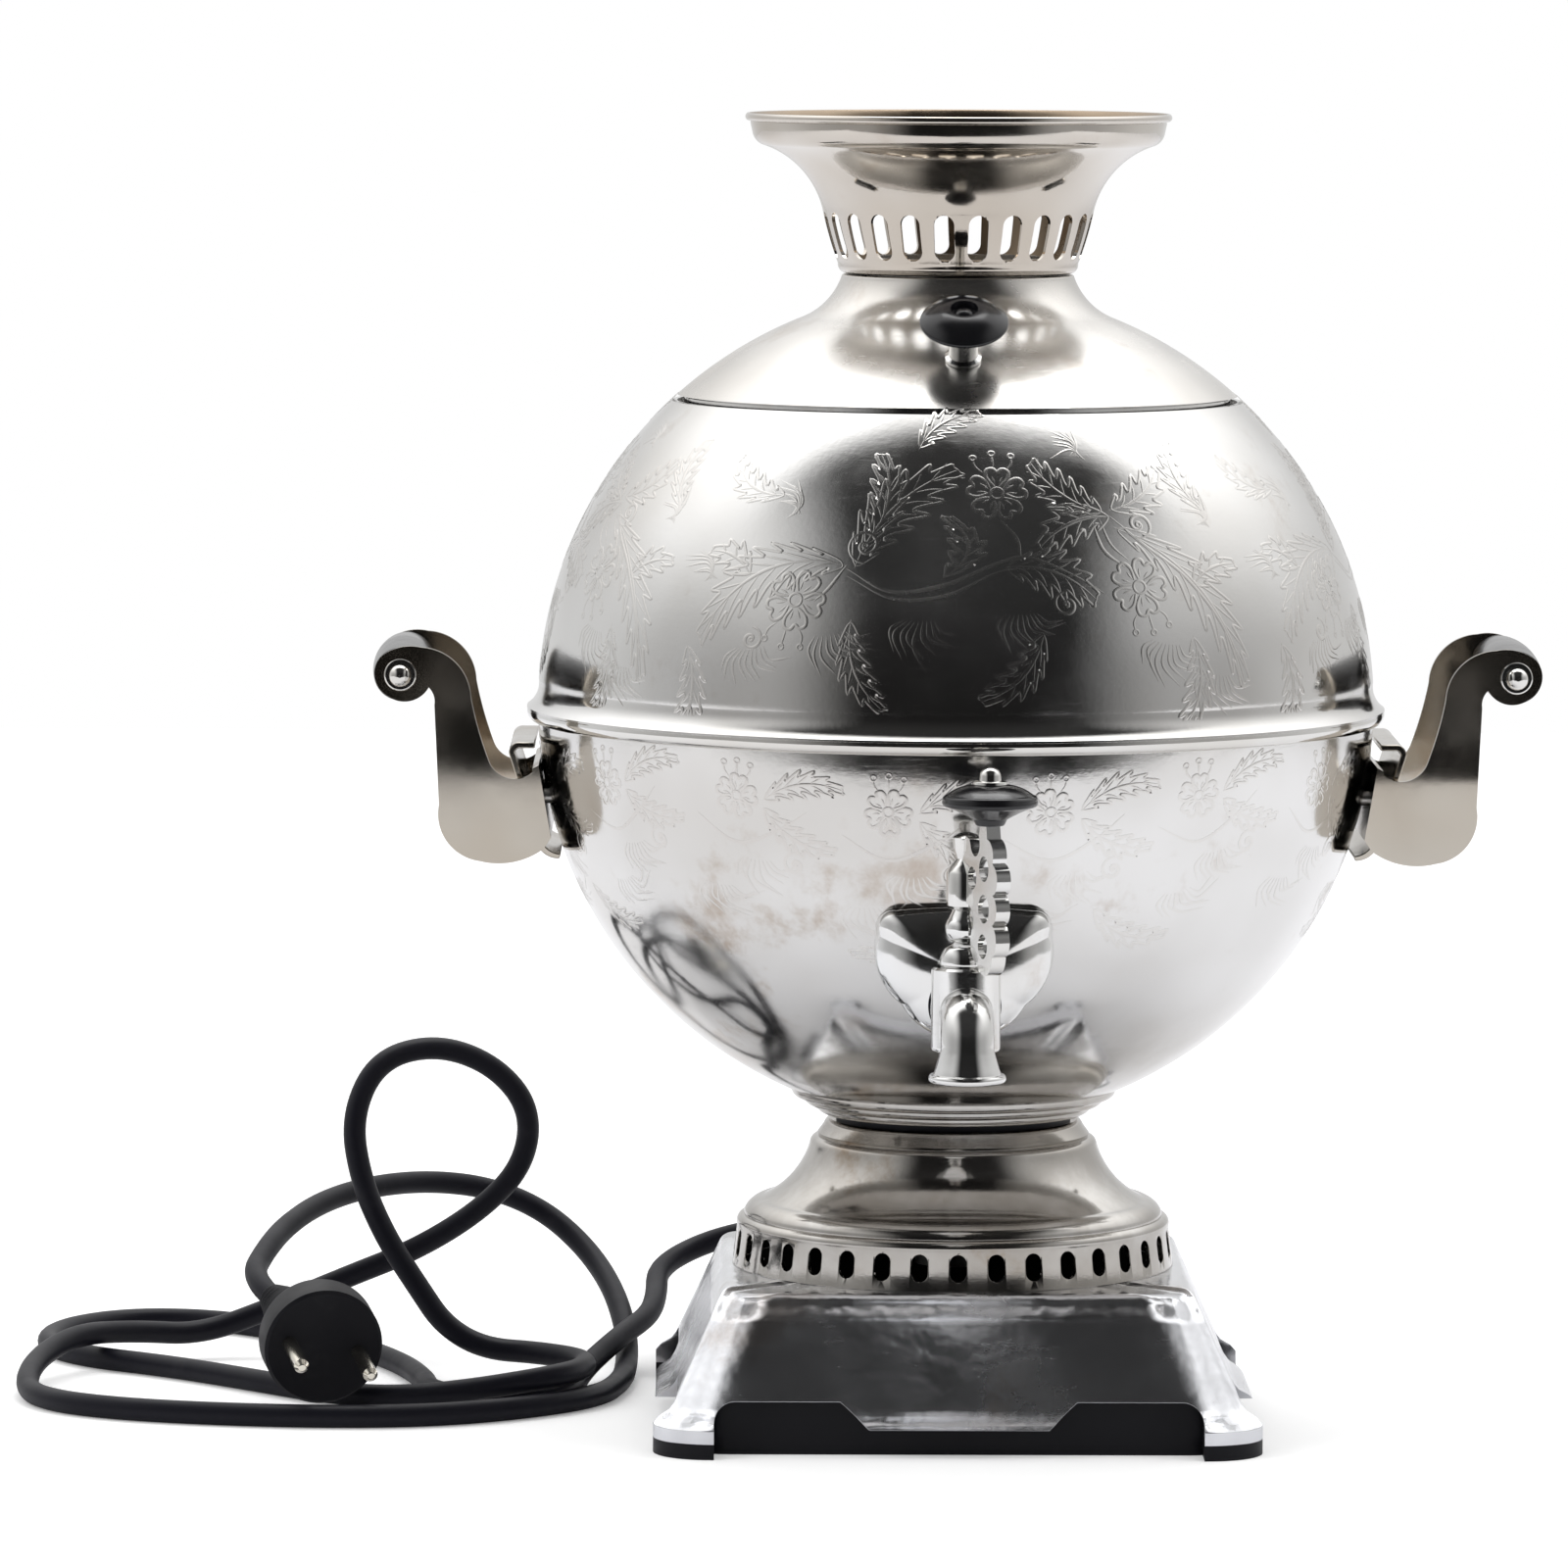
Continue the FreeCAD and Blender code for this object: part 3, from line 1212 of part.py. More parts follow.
def plug_boot():
    """Ribbed strain relief on the plug's boss."""
    _, _, _, boot = plug_frame()
    start = PLUG_BOOT_L - 8
    steps = [(0, start), (6.2, start)]
    for rib in range(4):
        z = start + rib * 2.0
        r = 6.2 - rib * 0.7
        steps += [(r, z + 1.2), (r - 1.2, z + 1.2), (r - 1.2, z + 2.0), (r - 0.7, z + 2.0)]
    steps = steps[:-1] + [(0, start + 8)]
    sleeve = turned(*steps)
    sleeve.Placement = FreeCAD.Placement(PLUG_CENTRE, FreeCAD.Rotation(UP, boot))
    return sleeve


def main():
    os.makedirs("parts", exist_ok=True)
    frame = handle_frame()
    grip = handle_grip()
    bracket = handle_bracket()
    pieces = {
        "upper_shell": upper_shell(),
        "lower_shell": lower_shell(),
        "belt_ring": belt_ring(),
        "mouth_ring": mouth_ring(),
        "lid_dome": lid_dome(),
        "lid_skirt": lid_skirt(),
        "lid_knobs": lid_knobs(),
        "knob_ferrules": knob_ferrules(),
        "knob_screws": knob_screws(),
        "crown": crown(),
        "neck_gasket": neck_gasket(),
        "pedestal_bell": pedestal_bell(),
        "vent_ring": vent_ring(),
        "base_casting": base_casting(),
        "base_pan": base_pan(),
        "pan_screws": pan_screws(),
        "tie_tube": tie_tube(),
        "clamp_nut": clamp_nut(),
        "element_flange": element_flange(),
        "heating_element": heating_element(),
        "terminal_block": terminal_block(),
        "handle_frame_right": frame,
        "handle_frame_left": mirrored(frame),
        "grip_right": grip,
        "grip_left": mirrored(grip),
        "handle_bracket_right": bracket,
        "handle_bracket_left": mirrored(bracket),
        "grip_washers": grip_washers(),
        "grip_cap_nuts": grip_cap_nuts(),
        "grip_bolts": grip_bolts(),
        "handle_screws": handle_screws(),
        "handle_nuts": handle_nuts(),
        "tap_boss": tap_boss(),
        "tap_washer": tap_washer(),
        "tap_body": tap_body(),
        "escutcheon": escutcheon(),
        "tap_key": tap_key(),
        "tap_knob": tap_knob(),
        "tap_knob_nut": tap_knob_nut(),
        "tap_retainer": tap_retainer(),
        "cord_gland": cord_gland(),
        "cord": cord(),
        "plug_body": plug_body(),
        "plug_pins": plug_pins(),
        "plug_boot": plug_boot(),
    }
    for name, shape in pieces.items():
        save(name, shape)


main()
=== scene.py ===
# %% [markdown]
# # An electric ball samovar, dressed for its portrait
# The packed CAD model is the fixed frame. Each step below adds one thing to it: first the
# camera, then the metal, the mouldings and the rubber, then the engraving, the free lead and
# last the light. Blender works in metres, +Z is up and the tap side faces -Y.

# %%
import bpy
import bmesh
import json
import math
import random
from mathutils import Matrix, Vector


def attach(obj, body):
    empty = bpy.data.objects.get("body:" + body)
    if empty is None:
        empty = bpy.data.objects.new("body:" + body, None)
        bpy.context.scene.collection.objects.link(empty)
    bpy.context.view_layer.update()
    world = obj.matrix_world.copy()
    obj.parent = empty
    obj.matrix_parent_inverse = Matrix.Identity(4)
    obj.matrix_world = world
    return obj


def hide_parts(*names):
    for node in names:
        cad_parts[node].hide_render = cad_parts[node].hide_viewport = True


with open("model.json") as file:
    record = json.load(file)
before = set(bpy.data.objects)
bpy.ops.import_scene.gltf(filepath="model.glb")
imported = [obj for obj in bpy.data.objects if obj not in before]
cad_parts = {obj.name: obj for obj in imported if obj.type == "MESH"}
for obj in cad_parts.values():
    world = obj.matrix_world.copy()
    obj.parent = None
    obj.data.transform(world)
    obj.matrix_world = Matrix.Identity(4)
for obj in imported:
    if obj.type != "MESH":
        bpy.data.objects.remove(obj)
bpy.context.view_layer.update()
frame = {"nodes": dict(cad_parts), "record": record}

# %% [markdown]
# ## The camera
# The picture was taken from about two and a half metres with a long lens, a little above the
# lid and turned down by five degrees. The small yaw and roll come from the body's axis, which
# leans slightly in the picture.

# %%
CAMERA_AT = Vector((-0.0655, -2.528, 0.3956))
PITCH = 5.10
YAW = 0.447
ROLL = 0.223
LENS = 217.8
SENSOR = 36.0

camera_data = bpy.data.cameras.new("camera")
camera = bpy.data.objects.new("camera", camera_data)
bpy.context.scene.collection.objects.link(camera)
camera_data.sensor_width = SENSOR
camera_data.lens = LENS
camera_data.clip_end = 50
camera.location = CAMERA_AT
tilt = Matrix.Rotation(math.radians(90 - PITCH), 4, "X")
yaw = Matrix.Rotation(math.radians(-YAW), 4, "Z")
roll = Matrix.Rotation(math.radians(ROLL), 4, "Z")
camera.rotation_euler = (yaw @ tilt @ roll).to_euler()
bpy.context.scene.camera = camera
print("camera at", tuple(round(c, 3) for c in camera.location))

# %% [markdown]
# ## Shared numbers
# Outlines are drawn in millimetres, as a turner would note them, and `MM` turns them into
# metres. The globe's radius and the height of its middle come back in almost every piece, so
# they are written once, with the two sums that say where its surface lies.

# %%
MM = 0.001
BALL_R = 111.6
BALL_Z = 191.3
SHEET = 1.1
LID_SHEET = 1.0
INNER_R = BALL_R - SHEET
LID_INNER_R = BALL_R - LID_SHEET
CORD_RADIUS = 3.1
GLOBE_MIDDLE = Vector((0, 0, BALL_Z * MM))
random.seed(7)


def ball_r(height, radius=BALL_R):
    """Distance of the globe's surface from its axis at a height."""
    return math.sqrt(radius ** 2 - (height - BALL_Z) ** 2)


def ball_z(distance, radius=BALL_R):
    """Height of the globe's upper surface at a distance from its axis."""
    return BALL_Z + math.sqrt(radius ** 2 - distance ** 2)


print("globe:", 2 * BALL_R, "mm across, its middle at a height of", BALL_Z, "mm")

# %% [markdown]
# ## A short way to write finishes
# A finish is a handful of nodes: noise for patches, a smooth step to shape the noise, a blend
# of two colours and a bump. Written out, each takes five lines, so this class gives them short
# names. Every pattern reads Object coordinates and so stays on the piece at any pose.

# %%
class Nodes:
    """Short calls for a node tree, of a finish or of the room."""

    def __init__(self, tree):
        self.tree = tree

    def add(self, kind):
        return self.tree.nodes.new(kind)

    def link(self, source, target):
        self.tree.links.new(source, target)

    def put(self, socket, value):
        """Links a socket to another, or gives it a plain value."""
        if isinstance(value, bpy.types.NodeSocket):
            self.link(value, socket)
        else:
            socket.default_value = value

    def math(self, kind, first, second=0.0):
        node = self.add("ShaderNodeMath")
        node.operation = kind
        self.put(node.inputs[0], first)
        self.put(node.inputs[1], second)
        return node.outputs[0]

    def ramp(self, value, low, high, from_value=0.0, to_value=1.0):
        """A smooth step from one value to another."""
        node = self.add("ShaderNodeMapRange")
        node.interpolation_type = "SMOOTHSTEP"
        self.put(node.inputs["Value"], value)
        for key, number in (("From Min", low), ("From Max", high),
                            ("To Min", from_value), ("To Max", to_value)):
            node.inputs[key].default_value = number
        return node.outputs["Result"]


class Finish(Nodes):
    """A material, with short calls for the patterns on it."""

    def __init__(self, name):
        self.material = bpy.data.materials.new(name)
        self.material.use_nodes = True
        super().__init__(self.material.node_tree)
        self.shader = self.tree.nodes["Principled BSDF"]
        self.space = self.add("ShaderNodeTexCoord").outputs["Object"]

    def stretched(self, scale):
        """Object coordinates multiplied along each axis."""
        node = self.add("ShaderNodeMapping")
        self.link(self.space, node.inputs["Vector"])
        node.inputs["Scale"].default_value = scale
        return node.outputs["Vector"]

    def noise(self, scale, detail=3.0, where=None, rough=0.55):
        node = self.add("ShaderNodeTexNoise")
        self.link(where or self.space, node.inputs["Vector"])
        for key, number in (("Scale", scale), ("Detail", detail), ("Roughness", rough)):
            node.inputs[key].default_value = number
        return node.outputs["Fac"]

    def axis(self, index):
        """One of the three Object coordinates."""
        node = self.add("ShaderNodeSeparateXYZ")
        self.link(self.space, node.inputs[0])
        return node.outputs[index]

    def from_axis(self):
        """Distance from the samovar's upright axis."""
        across = self.math("MULTIPLY", self.axis(0), self.axis(0))
        along = self.math("MULTIPLY", self.axis(1), self.axis(1))
        return self.math("SQRT", self.math("ADD", across, along))

    def blend(self, amount, first, second):
        """A mix of two colours, each a socket or three numbers."""
        node = self.add("ShaderNodeMix")
        node.data_type = "RGBA"
        self.put(node.inputs["Factor"], amount)
        for key, colour in (("A", first), ("B", second)):
            socket = [one for one in node.inputs if one.name == key and one.type == "RGBA"][0]
            self.put(socket, colour if isinstance(colour, bpy.types.NodeSocket) else (*colour, 1))
        return [one for one in node.outputs if one.type == "RGBA"][0]

    def bump(self, height, distance, strength=1.0, normal=None):
        node = self.add("ShaderNodeBump")
        node.inputs["Strength"].default_value = strength
        node.inputs["Distance"].default_value = distance
        self.put(node.inputs["Height"], height)
        if normal:
            self.link(normal, node.inputs["Normal"])
        return node.outputs["Normal"]


def plain(name, colour, metallic, roughness, coat=0.0):
    """A finish with one colour and one gloss."""
    finish = Finish(name)
    finish.shader.inputs["Base Color"].default_value = (*colour, 1)
    finish.shader.inputs["Metallic"].default_value = metallic
    finish.shader.inputs["Roughness"].default_value = roughness
    finish.shader.inputs["Coat Weight"].default_value = coat
    return finish


steel = plain("steel", (0.55, 0.54, 0.53), 1.0, 0.32).material
heater = plain("heater_tube", (0.36, 0.33, 0.30), 1.0, 0.45).material
brass = plain("pin_metal", (0.80, 0.76, 0.66), 1.0, 0.18).material
# A near-black finish that paints shade inside the pedestal and the vent ring.
painted_shade_black = plain("painted_shade_inside", (0.010, 0.009, 0.008), 0.2, 0.7).material
print("plain finishes:", steel.name, heater.name, brass.name, painted_shade_black.name)

# %% [markdown]
# ## Old plated metal
# The real samovar is nickel on brass, decades old: it still mirrors the room, but the mirror
# is soft, with shallow dents, cloudy patches, hair scratches and warm stains that gather low
# down. A picture of real metal could be wrapped round it, but noise needs no seams. So each
# trait is one noise, and one builder mixes them for all the plated parts. The builder also paints
# shade: a brown darkening at the globe's foot, with some grime, and a near-black top of the cast
# base inside the vent ring.

# %%
STAIN = (0.30, 0.19, 0.10)
# The brown at the globe's foot, and the heights where it starts and is full, are painted shade for the
# mirrored pedestal and its shadow, with some grime.
FOOT_GRIME_AND_SHADE = (0.20, 0.17, 0.13)
# UNLIT is the near black of the painted shade on the cast base inside the vent ring.
UNLIT = (0.012, 0.011, 0.010)
STAINS_FROM = BALL_Z * MM + 0.02
STAINS_FULL = BALL_Z * MM - 0.10
FOOT_SHADE_FROM, FOOT_SHADE_FULL = 0.128, 0.088
CHEEK_FOOT, CHEEK_TOP = 0.128, 0.181
VENT_OUTSIDE, VENT_INSIDE = 0.0572, 0.0555
CAST_EDGE, CAST_TOP = 0.0335, 0.0405
CORNER_FROM = 0.78


def stained(metal, tone, amount):
    """Warm patches, denser towards the foot of the globe."""
    patches = metal.ramp(metal.noise(26, 6, rough=0.65), 0.56, 0.72)
    low_down = metal.ramp(metal.axis(2), STAINS_FROM, STAINS_FULL, 0.25, amount)
    return metal.blend(metal.math("MULTIPLY", patches, low_down), tone, STAIN)


def grime_and_painted_shade_foot(metal, tone, amount):
    """Painted shade where the globe runs into its foot: a blotched brown darkening for the mirrored
    pedestal and its shadow, with some grime.
    """
    depth = metal.ramp(metal.axis(2), FOOT_SHADE_FROM, FOOT_SHADE_FULL, 0, amount)
    patches = metal.ramp(metal.noise(30, 5, rough=0.6), 0.25, 0.6, 0.45, 1)
    return metal.blend(metal.math("MULTIPLY", depth, patches), tone, FOOT_GRIME_AND_SHADE)


def dark_under_vents(metal, tone, rough):
    """Painted shade: the top of the cast base inside the vent ring is coloured near black and made matt."""
    inside = metal.ramp(metal.from_axis(), VENT_OUTSIDE, VENT_INSIDE)
    on_top = metal.ramp(metal.axis(2), CAST_TOP - 0.0015, CAST_TOP)
    under = metal.math("MULTIPLY", inside, on_top)
    outside = metal.math("SUBTRACT", 1.0, under)
    metal.link(outside, metal.shader.inputs["Metallic"])
    metal.link(metal.math("MULTIPLY", 0.5, outside), metal.shader.inputs["Specular IOR Level"])
    return metal.blend(under, tone, UNLIT), metal.math("ADD", rough, under)


def cast_skin(metal, dents, depth):
    """Shallow casting ripples, and light that turns round the corners and the top edge."""
    dents = metal.bump(metal.noise(55, 3, rough=0.6), depth, 0.6, dents)
    across = metal.math("ABSOLUTE", metal.axis(0))
    along = metal.math("ABSOLUTE", metal.axis(1))
    smaller = metal.math("MINIMUM", across, along)
    corner = metal.math("DIVIDE", smaller, metal.math("MAXIMUM", across, along))
    dents = metal.bump(metal.ramp(corner, CORNER_FROM, 1.0, 1, 0), 0.004, 1.0, dents)
    return metal.bump(metal.ramp(metal.axis(2), CAST_EDGE, CAST_TOP, 1, 0), 0.0020, 1.0, dents)


def worn_metal(name, colour, dull, gloss, wave, stains=0.0, foot=0.0, scratches=0.10, sag=0.0,
               grain=0.00001, cast=0.0):
    """Old metal. gloss is the roughness of the best and the worst patch, wave a dent's depth."""
    metal = plain(name, colour, 1.0, gloss[0])
    scratch = metal.noise(95, 4, metal.stretched((1, 1, 9)), 0.7)
    rough = metal.math("ADD", metal.ramp(metal.noise(38, 5), 0.35, 0.75, *gloss),
                       metal.ramp(scratch, 0.55, 0.8, 0, scratches))
    tone = metal.blend(metal.ramp(metal.noise(11, 3), 0.35, 0.7, 0, 0.7), colour, dull)
    dents = metal.bump(metal.noise(9, 1), wave, 0.5)
    if stains:
        tone = stained(metal, tone, stains)
    # foot is the amount of painted shade, with some grime, at the globe's foot.
    if foot:
        tone = grime_and_painted_shade_foot(metal, tone, foot)
    if cast:
        tone, rough = dark_under_vents(metal, tone, rough)
        dents = cast_skin(metal, dents, cast)
    dents = metal.bump(metal.noise(520, 3), grain, 0.5, dents)
    if sag:
        dents = metal.bump(metal.ramp(metal.axis(2), CHEEK_FOOT, CHEEK_TOP), sag, 1.0, dents)
    metal.link(rough, metal.shader.inputs["Roughness"])
    metal.link(tone, metal.shader.inputs["Base Color"])
    metal.link(metal.bump(scratch, 0.0003 * scratches, 0.25, dents), metal.shader.inputs["Normal"])
    return metal.material


nickel = worn_metal("nickel_plate", (0.76, 0.755, 0.745), (0.56, 0.54, 0.51), (0.085, 0.20), 0.0014,
                    stains=0.75, foot=0.6, grain=0.00003)
lid_metal = worn_metal("lid_plate", (0.74, 0.725, 0.70), (0.48, 0.45, 0.41), (0.19, 0.33), 0.0014,
                       stains=0.5)
frame_metal = worn_metal("frame_plate", (0.50, 0.465, 0.41), (0.34, 0.27, 0.19), (0.10, 0.24), 0.0008,
                         stains=0.9, scratches=0.02, sag=0.006)
crown_metal = worn_metal("crown_plate", (0.66, 0.63, 0.59), (0.44, 0.38, 0.31), (0.07, 0.16), 0.0010,
                         stains=0.3)
bright = worn_metal("bright_plate", (0.78, 0.78, 0.77), (0.60, 0.57, 0.52), (0.05, 0.14), 0.0006)
tap_metal = worn_metal("tap_plate", (0.82, 0.83, 0.84), (0.66, 0.64, 0.60), (0.07, 0.18), 0.0008,
                       stains=0.35)
cast_metal = worn_metal("cast_metal", (0.86, 0.87, 0.90), (0.62, 0.62, 0.64), (0.15, 0.30), 0.0016,
                        stains=0.35, cast=0.0011)
# A dull brown metal that paints shade inside the crown.
painted_shade_brown = worn_metal("painted_shade_brown_inside", (0.34, 0.27, 0.20), (0.20, 0.15, 0.10), (0.22, 0.42), 0.001)
engraved = worn_metal("engraved_line", (0.74, 0.73, 0.71), (0.56, 0.53, 0.50), (0.17, 0.30), 0.0006)
print("finishes so far:", len(bpy.data.materials))

# %% [markdown]
# ## Black mouldings and rubber
# Knobs and grips are a hard black moulding with a low shine, the pan, the plug and the lead are
# matt. All of them are near black in the picture, with a trace of dust. A flat black looks like
# a hole, so a fine grain breaks the gloss and a faint grey dust lies over it.

# %%
DUST = (0.12, 0.115, 0.11)


def moulding(name, colour, roughness, coat, grain, shine=0.18):
    """Black moulding with a fine grain and light dust."""
    black = plain(name, colour, 0.0, roughness, coat)
    black.shader.inputs["Coat Roughness"].default_value = 0.08
    black.shader.inputs["Specular IOR Level"].default_value = shine
    dust = black.ramp(black.noise(60, 6), 0.6, 0.85, 0, 0.10)
    rough = black.ramp(black.noise(45, 4), 0.3, 0.8, roughness, roughness + 0.14)
    black.link(black.blend(dust, colour, DUST), black.shader.inputs["Base Color"])
    black.link(rough, black.shader.inputs["Roughness"])
    black.link(black.bump(black.noise(420, 2), grain, 0.3), black.shader.inputs["Normal"])
    return black.material


knob_black = moulding("knob_black", (0.004, 0.004, 0.005), 0.16, 0.12, 0.00003, 0.45)
pan_black = moulding("pan_black", (0.006, 0.006, 0.008), 0.40, 0.0, 0.00006)
rubber = moulding("rubber_black", (0.005, 0.005, 0.009), 0.42, 0.0, 0.00005)
plug_black = moulding("plug_black", (0.004, 0.004, 0.006), 0.45, 0.0, 0.00005)

looks = {
    "nickel": nickel, "crown_nickel": crown_metal, "chrome": bright, "tap_chrome": tap_metal,
    "cast_metal": cast_metal, "steel": steel, "heater_tube": heater, "black_moulding": knob_black,
    "base_moulding": pan_black, "black_rubber": rubber, "brass_pins": brass,
}
slot_of = {part["node"]: part["material_slot"] for part in frame["record"]["subparts"]}
for node, solid in frame["nodes"].items():
    solid.data.materials.clear()
    solid.data.materials.append(looks[slot_of[node]])
print("finishes given to the solids:", len(looks))

# %% [markdown]
# ## Turning
# Plated metal shows every facet, and the CAD meshes are too coarse for a mirror. The real parts
# are sheet brass spun over a form on a lathe, so they are made again the same way: an outline of
# straight steps and arcs, spun about the axis in 288 steps. The outlines are those of the solids.

# %%
TURNS = 288
MOST_ARC_STEPS = 78
ARC_STEP = 0.9
SHARP = math.radians(32)


def arc_centre(here, middle, last):
    """The middle of the circle through three points."""
    (ax, ay), (bx, by), (cx, cy) = here, middle, last
    double_area = 2 * (ax * (by - cy) + bx * (cy - ay) + cx * (ay - by))
    near, mid, far = here.length_squared, middle.length_squared, last.length_squared
    return Vector(((near * (by - cy) + mid * (cy - ay) + far * (ay - by)) / double_area,
                   (near * (cx - bx) + mid * (ax - cx) + far * (bx - ax)) / double_area))


def outline_points(start, *steps):
    """Outline points: two numbers are a straight step, four are an arc through a point."""
    points = [Vector(start)]
    for step in steps:
        here, last = points[-1], Vector(step[-2:])
        if len(step) == 2:
            points.append(last)
            continue
        middle = Vector(step[:2])
        centre = arc_centre(here, middle, last)
        arm = here - centre
        sweep = arm.angle_signed(last - centre)
        half_way = arm.angle_signed(middle - centre)
        if (half_way > 0) != (sweep > 0) or abs(half_way) > abs(sweep):
            sweep -= math.copysign(math.tau, sweep)
        count = max(3, min(MOST_ARC_STEPS, int(arm.length * abs(sweep) / ARC_STEP) + 3))
        for k in range(1, count + 1):
            turn = Matrix.Rotation(-sweep * k / count, 2)
            points.append(centre + turn @ arm)
    return points


def turned(outline, turns=TURNS):
    """A closed outline in millimetres, spun about the Z axis."""
    points = outline_points(*outline)
    if (points[0] - points[-1]).length < 1e-4:
        points.pop()
    bm = bmesh.new()
    corners = [bm.verts.new((0, -point.x * MM, point.y * MM)) for point in points]
    edges = [bm.edges.new(pair) for pair in zip(corners, corners[1:] + corners[:1])]
    bmesh.ops.spin(bm, geom=corners + edges, cent=(0, 0, 0), axis=(0, 0, 1), dvec=(0, 0, 0),
                   angle=math.tau, steps=turns, use_merge=True)
    bmesh.ops.recalc_face_normals(bm, faces=bm.faces)
    return bm


def finish_mesh(name, bm, sharp=SHARP):
    """A mesh with smooth shading that keeps the edges sharper than an angle."""
    for face in bm.faces:
        face.smooth = True
    for edge in bm.edges:
        edge.smooth = len(edge.link_faces) != 2 or edge.calc_face_angle(0) < sharp
    mesh = bpy.data.meshes.new(name)
    bm.to_mesh(mesh)
    bm.free()
    return mesh


def new_piece(name, mesh, body, nodes, material):
    """Puts a mesh in the scene as a piece that rides on a body and stands for CAD nodes."""
    piece = bpy.data.objects.new(name, mesh)
    bpy.context.scene.collection.objects.link(piece)
    mesh.materials.clear()
    mesh.materials.append(material)
    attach(piece, body)
    if nodes:
        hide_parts(*nodes)
    return piece


def spun(name, body, node, material, outline, sharp=SHARP):
    """A turned piece that stands for one CAD node."""
    piece = new_piece(name, finish_mesh(name, turned(outline), sharp), body, [node], material)
    print(name, "faces:", len(piece.data.polygons))
    return piece


print("one turn takes", TURNS, "steps of", round(math.tau * BALL_R / TURNS, 2), "mm on the belt")

# %% [markdown]
# ## The globe and its belt
# The body is two half balls with a rolled seam between them, and a thin bright belt over the
# seam. Below, the lower half runs into its foot in three small beads. A ready-made ball would
# have poles and no wall, so both halves are spun from outlines that go up the outside and come
# back down the inside, one sheet thinner.

# %%
SEAM_Z = 190.65
MOUTH_Z = 272.8
FOOT_R = 43.6
FOOT_Z = BALL_Z - math.sqrt(BALL_R ** 2 - FOOT_R ** 2)
SEAT_Z = 82.2
BEAD_STEP = 10.0 / 3
BEAD_DROP = (FOOT_Z - SEAT_Z) / 3

spun("upper_globe", "urn", "upper_shell", nickel, [
    (ball_r(MOUTH_Z), MOUTH_Z), (ball_r(235.6), 235.6, ball_r(198.4), 198.4),
    (ball_r(198.4) + 0.7, 194.0, 114.5, 191.2), (114.5, SEAM_Z), (INNER_R, SEAM_Z),
    (ball_r(235.6, INNER_R), 235.6, ball_r(MOUTH_Z, INNER_R), MOUTH_Z)])
beads = []
for k in range(3):
    bead_r, bead_z = FOOT_R - k * BEAD_STEP, FOOT_Z - k * BEAD_DROP
    beads.append((bead_r - 0.15 * BEAD_STEP, bead_z - 0.72 * BEAD_DROP,
                  bead_r - BEAD_STEP, bead_z - BEAD_DROP))
middle_z = (SEAM_Z + FOOT_Z) / 2
spun("lower_globe", "urn", "lower_shell", nickel, [
    (BALL_R, SEAM_Z), (ball_r(middle_z), middle_z, FOOT_R, FOOT_Z), *beads, (10.4, SEAT_Z), (10.4, 83.3),
    (32.5, 83.3), (32.5, 85.06), (ball_r(FOOT_Z + 1.6, INNER_R), FOOT_Z + 1.6),
    (ball_r(middle_z, INNER_R), middle_z, INNER_R, SEAM_Z)], sharp=math.radians(24))
spun("belt", "urn", "belt_ring", bright, [
    (BALL_R + 0.05, SEAM_Z), (114.3, SEAM_Z), (113.9, SEAM_Z - 2.4, BALL_R + 0.05, SEAM_Z - 3.4)])

# %% [markdown]
# ## The lid
# The lid carries on the globe's curve, then sweeps up in a hollow neck to the collar on which
# the crown stands. One outline holds all three, so the reflection runs over them unbroken. Its
# metal is duller than the globe's, as hands and steam reach it most.

# %%
LID_FOOT_Z = 274.3
BLEND_R = 42.0
LID_MIDDLE_R = (ball_r(LID_FOOT_Z) + BLEND_R) / 2
INNER_MIDDLE_R = LID_MIDDLE_R - 0.4

spun("lid_cap", "lid", "lid_dome", lid_metal, [
    (ball_r(LID_FOOT_Z), LID_FOOT_Z), (LID_MIDDLE_R, ball_z(LID_MIDDLE_R), BLEND_R, ball_z(BLEND_R)),
    (34.9, 299.4, 31.0, 305.8), (30.8, 306.25, 30.3, 306.4), (24.6, 306.4), (24.6, 311.0),
    (23.6, 311.0), (23.6, 305.4), (29.6, 305.4),
    (33.7, 298.8, BLEND_R - 0.5, ball_z(BLEND_R) - LID_SHEET),
    (INNER_MIDDLE_R, ball_z(INNER_MIDDLE_R, LID_INNER_R), ball_r(LID_FOOT_Z, LID_INNER_R), LID_FOOT_Z)])

# %% [markdown]
# ## The pedestal
# Under the globe lie a rubber gasket and a bell that flares down to the vent ring. The bell is
# thin sheet with two beads at its neck. A cone would be simpler, but the bands of light on it
# come from its hollow curve, so that is one arc of the outline.

# %%
spun("gasket", "urn", "neck_gasket", rubber, [
    (10.3, 80.4), (31.4, 80.4), (31.4, SEAT_Z), (10.3, SEAT_Z)])
bell = spun("bell", "urn", "pedestal_bell", nickel, [
    (10.3, 80.4), (33.3, 80.4), (34.2, 79.8, 34.8, 78.8), (36.4, 76.6), (36.1, 75.8),
    (37.8, 75.2, 38.5, 74.0), (42.4, 66.0, 51.2, 58.8), (54.7, 57.4, 56.1, 55.4), (56.1, 54.6),
    (54.7, 54.6), (53.4, 56.2, 50.6, 57.5), (41.4, 64.9, 36.8, 73.8), (33.6, 76.2), (31.0, 79.0),
    (10.3, 79.0)], sharp=math.radians(26))

# %% [markdown]
# ## The slotted rings
# The crown and the vent ring have rows of round-ended slots, punched in the real sheet. Here
# one round-ended bar is made, copied round the axis, and taken away from the spun ring. A
# picture of slots would not show the sheet's thickness, nor the far slots through the near ones.

# %%
PUNCH_FROM = 22
PUNCH_TO = 66
PUNCH_SIDES = 30


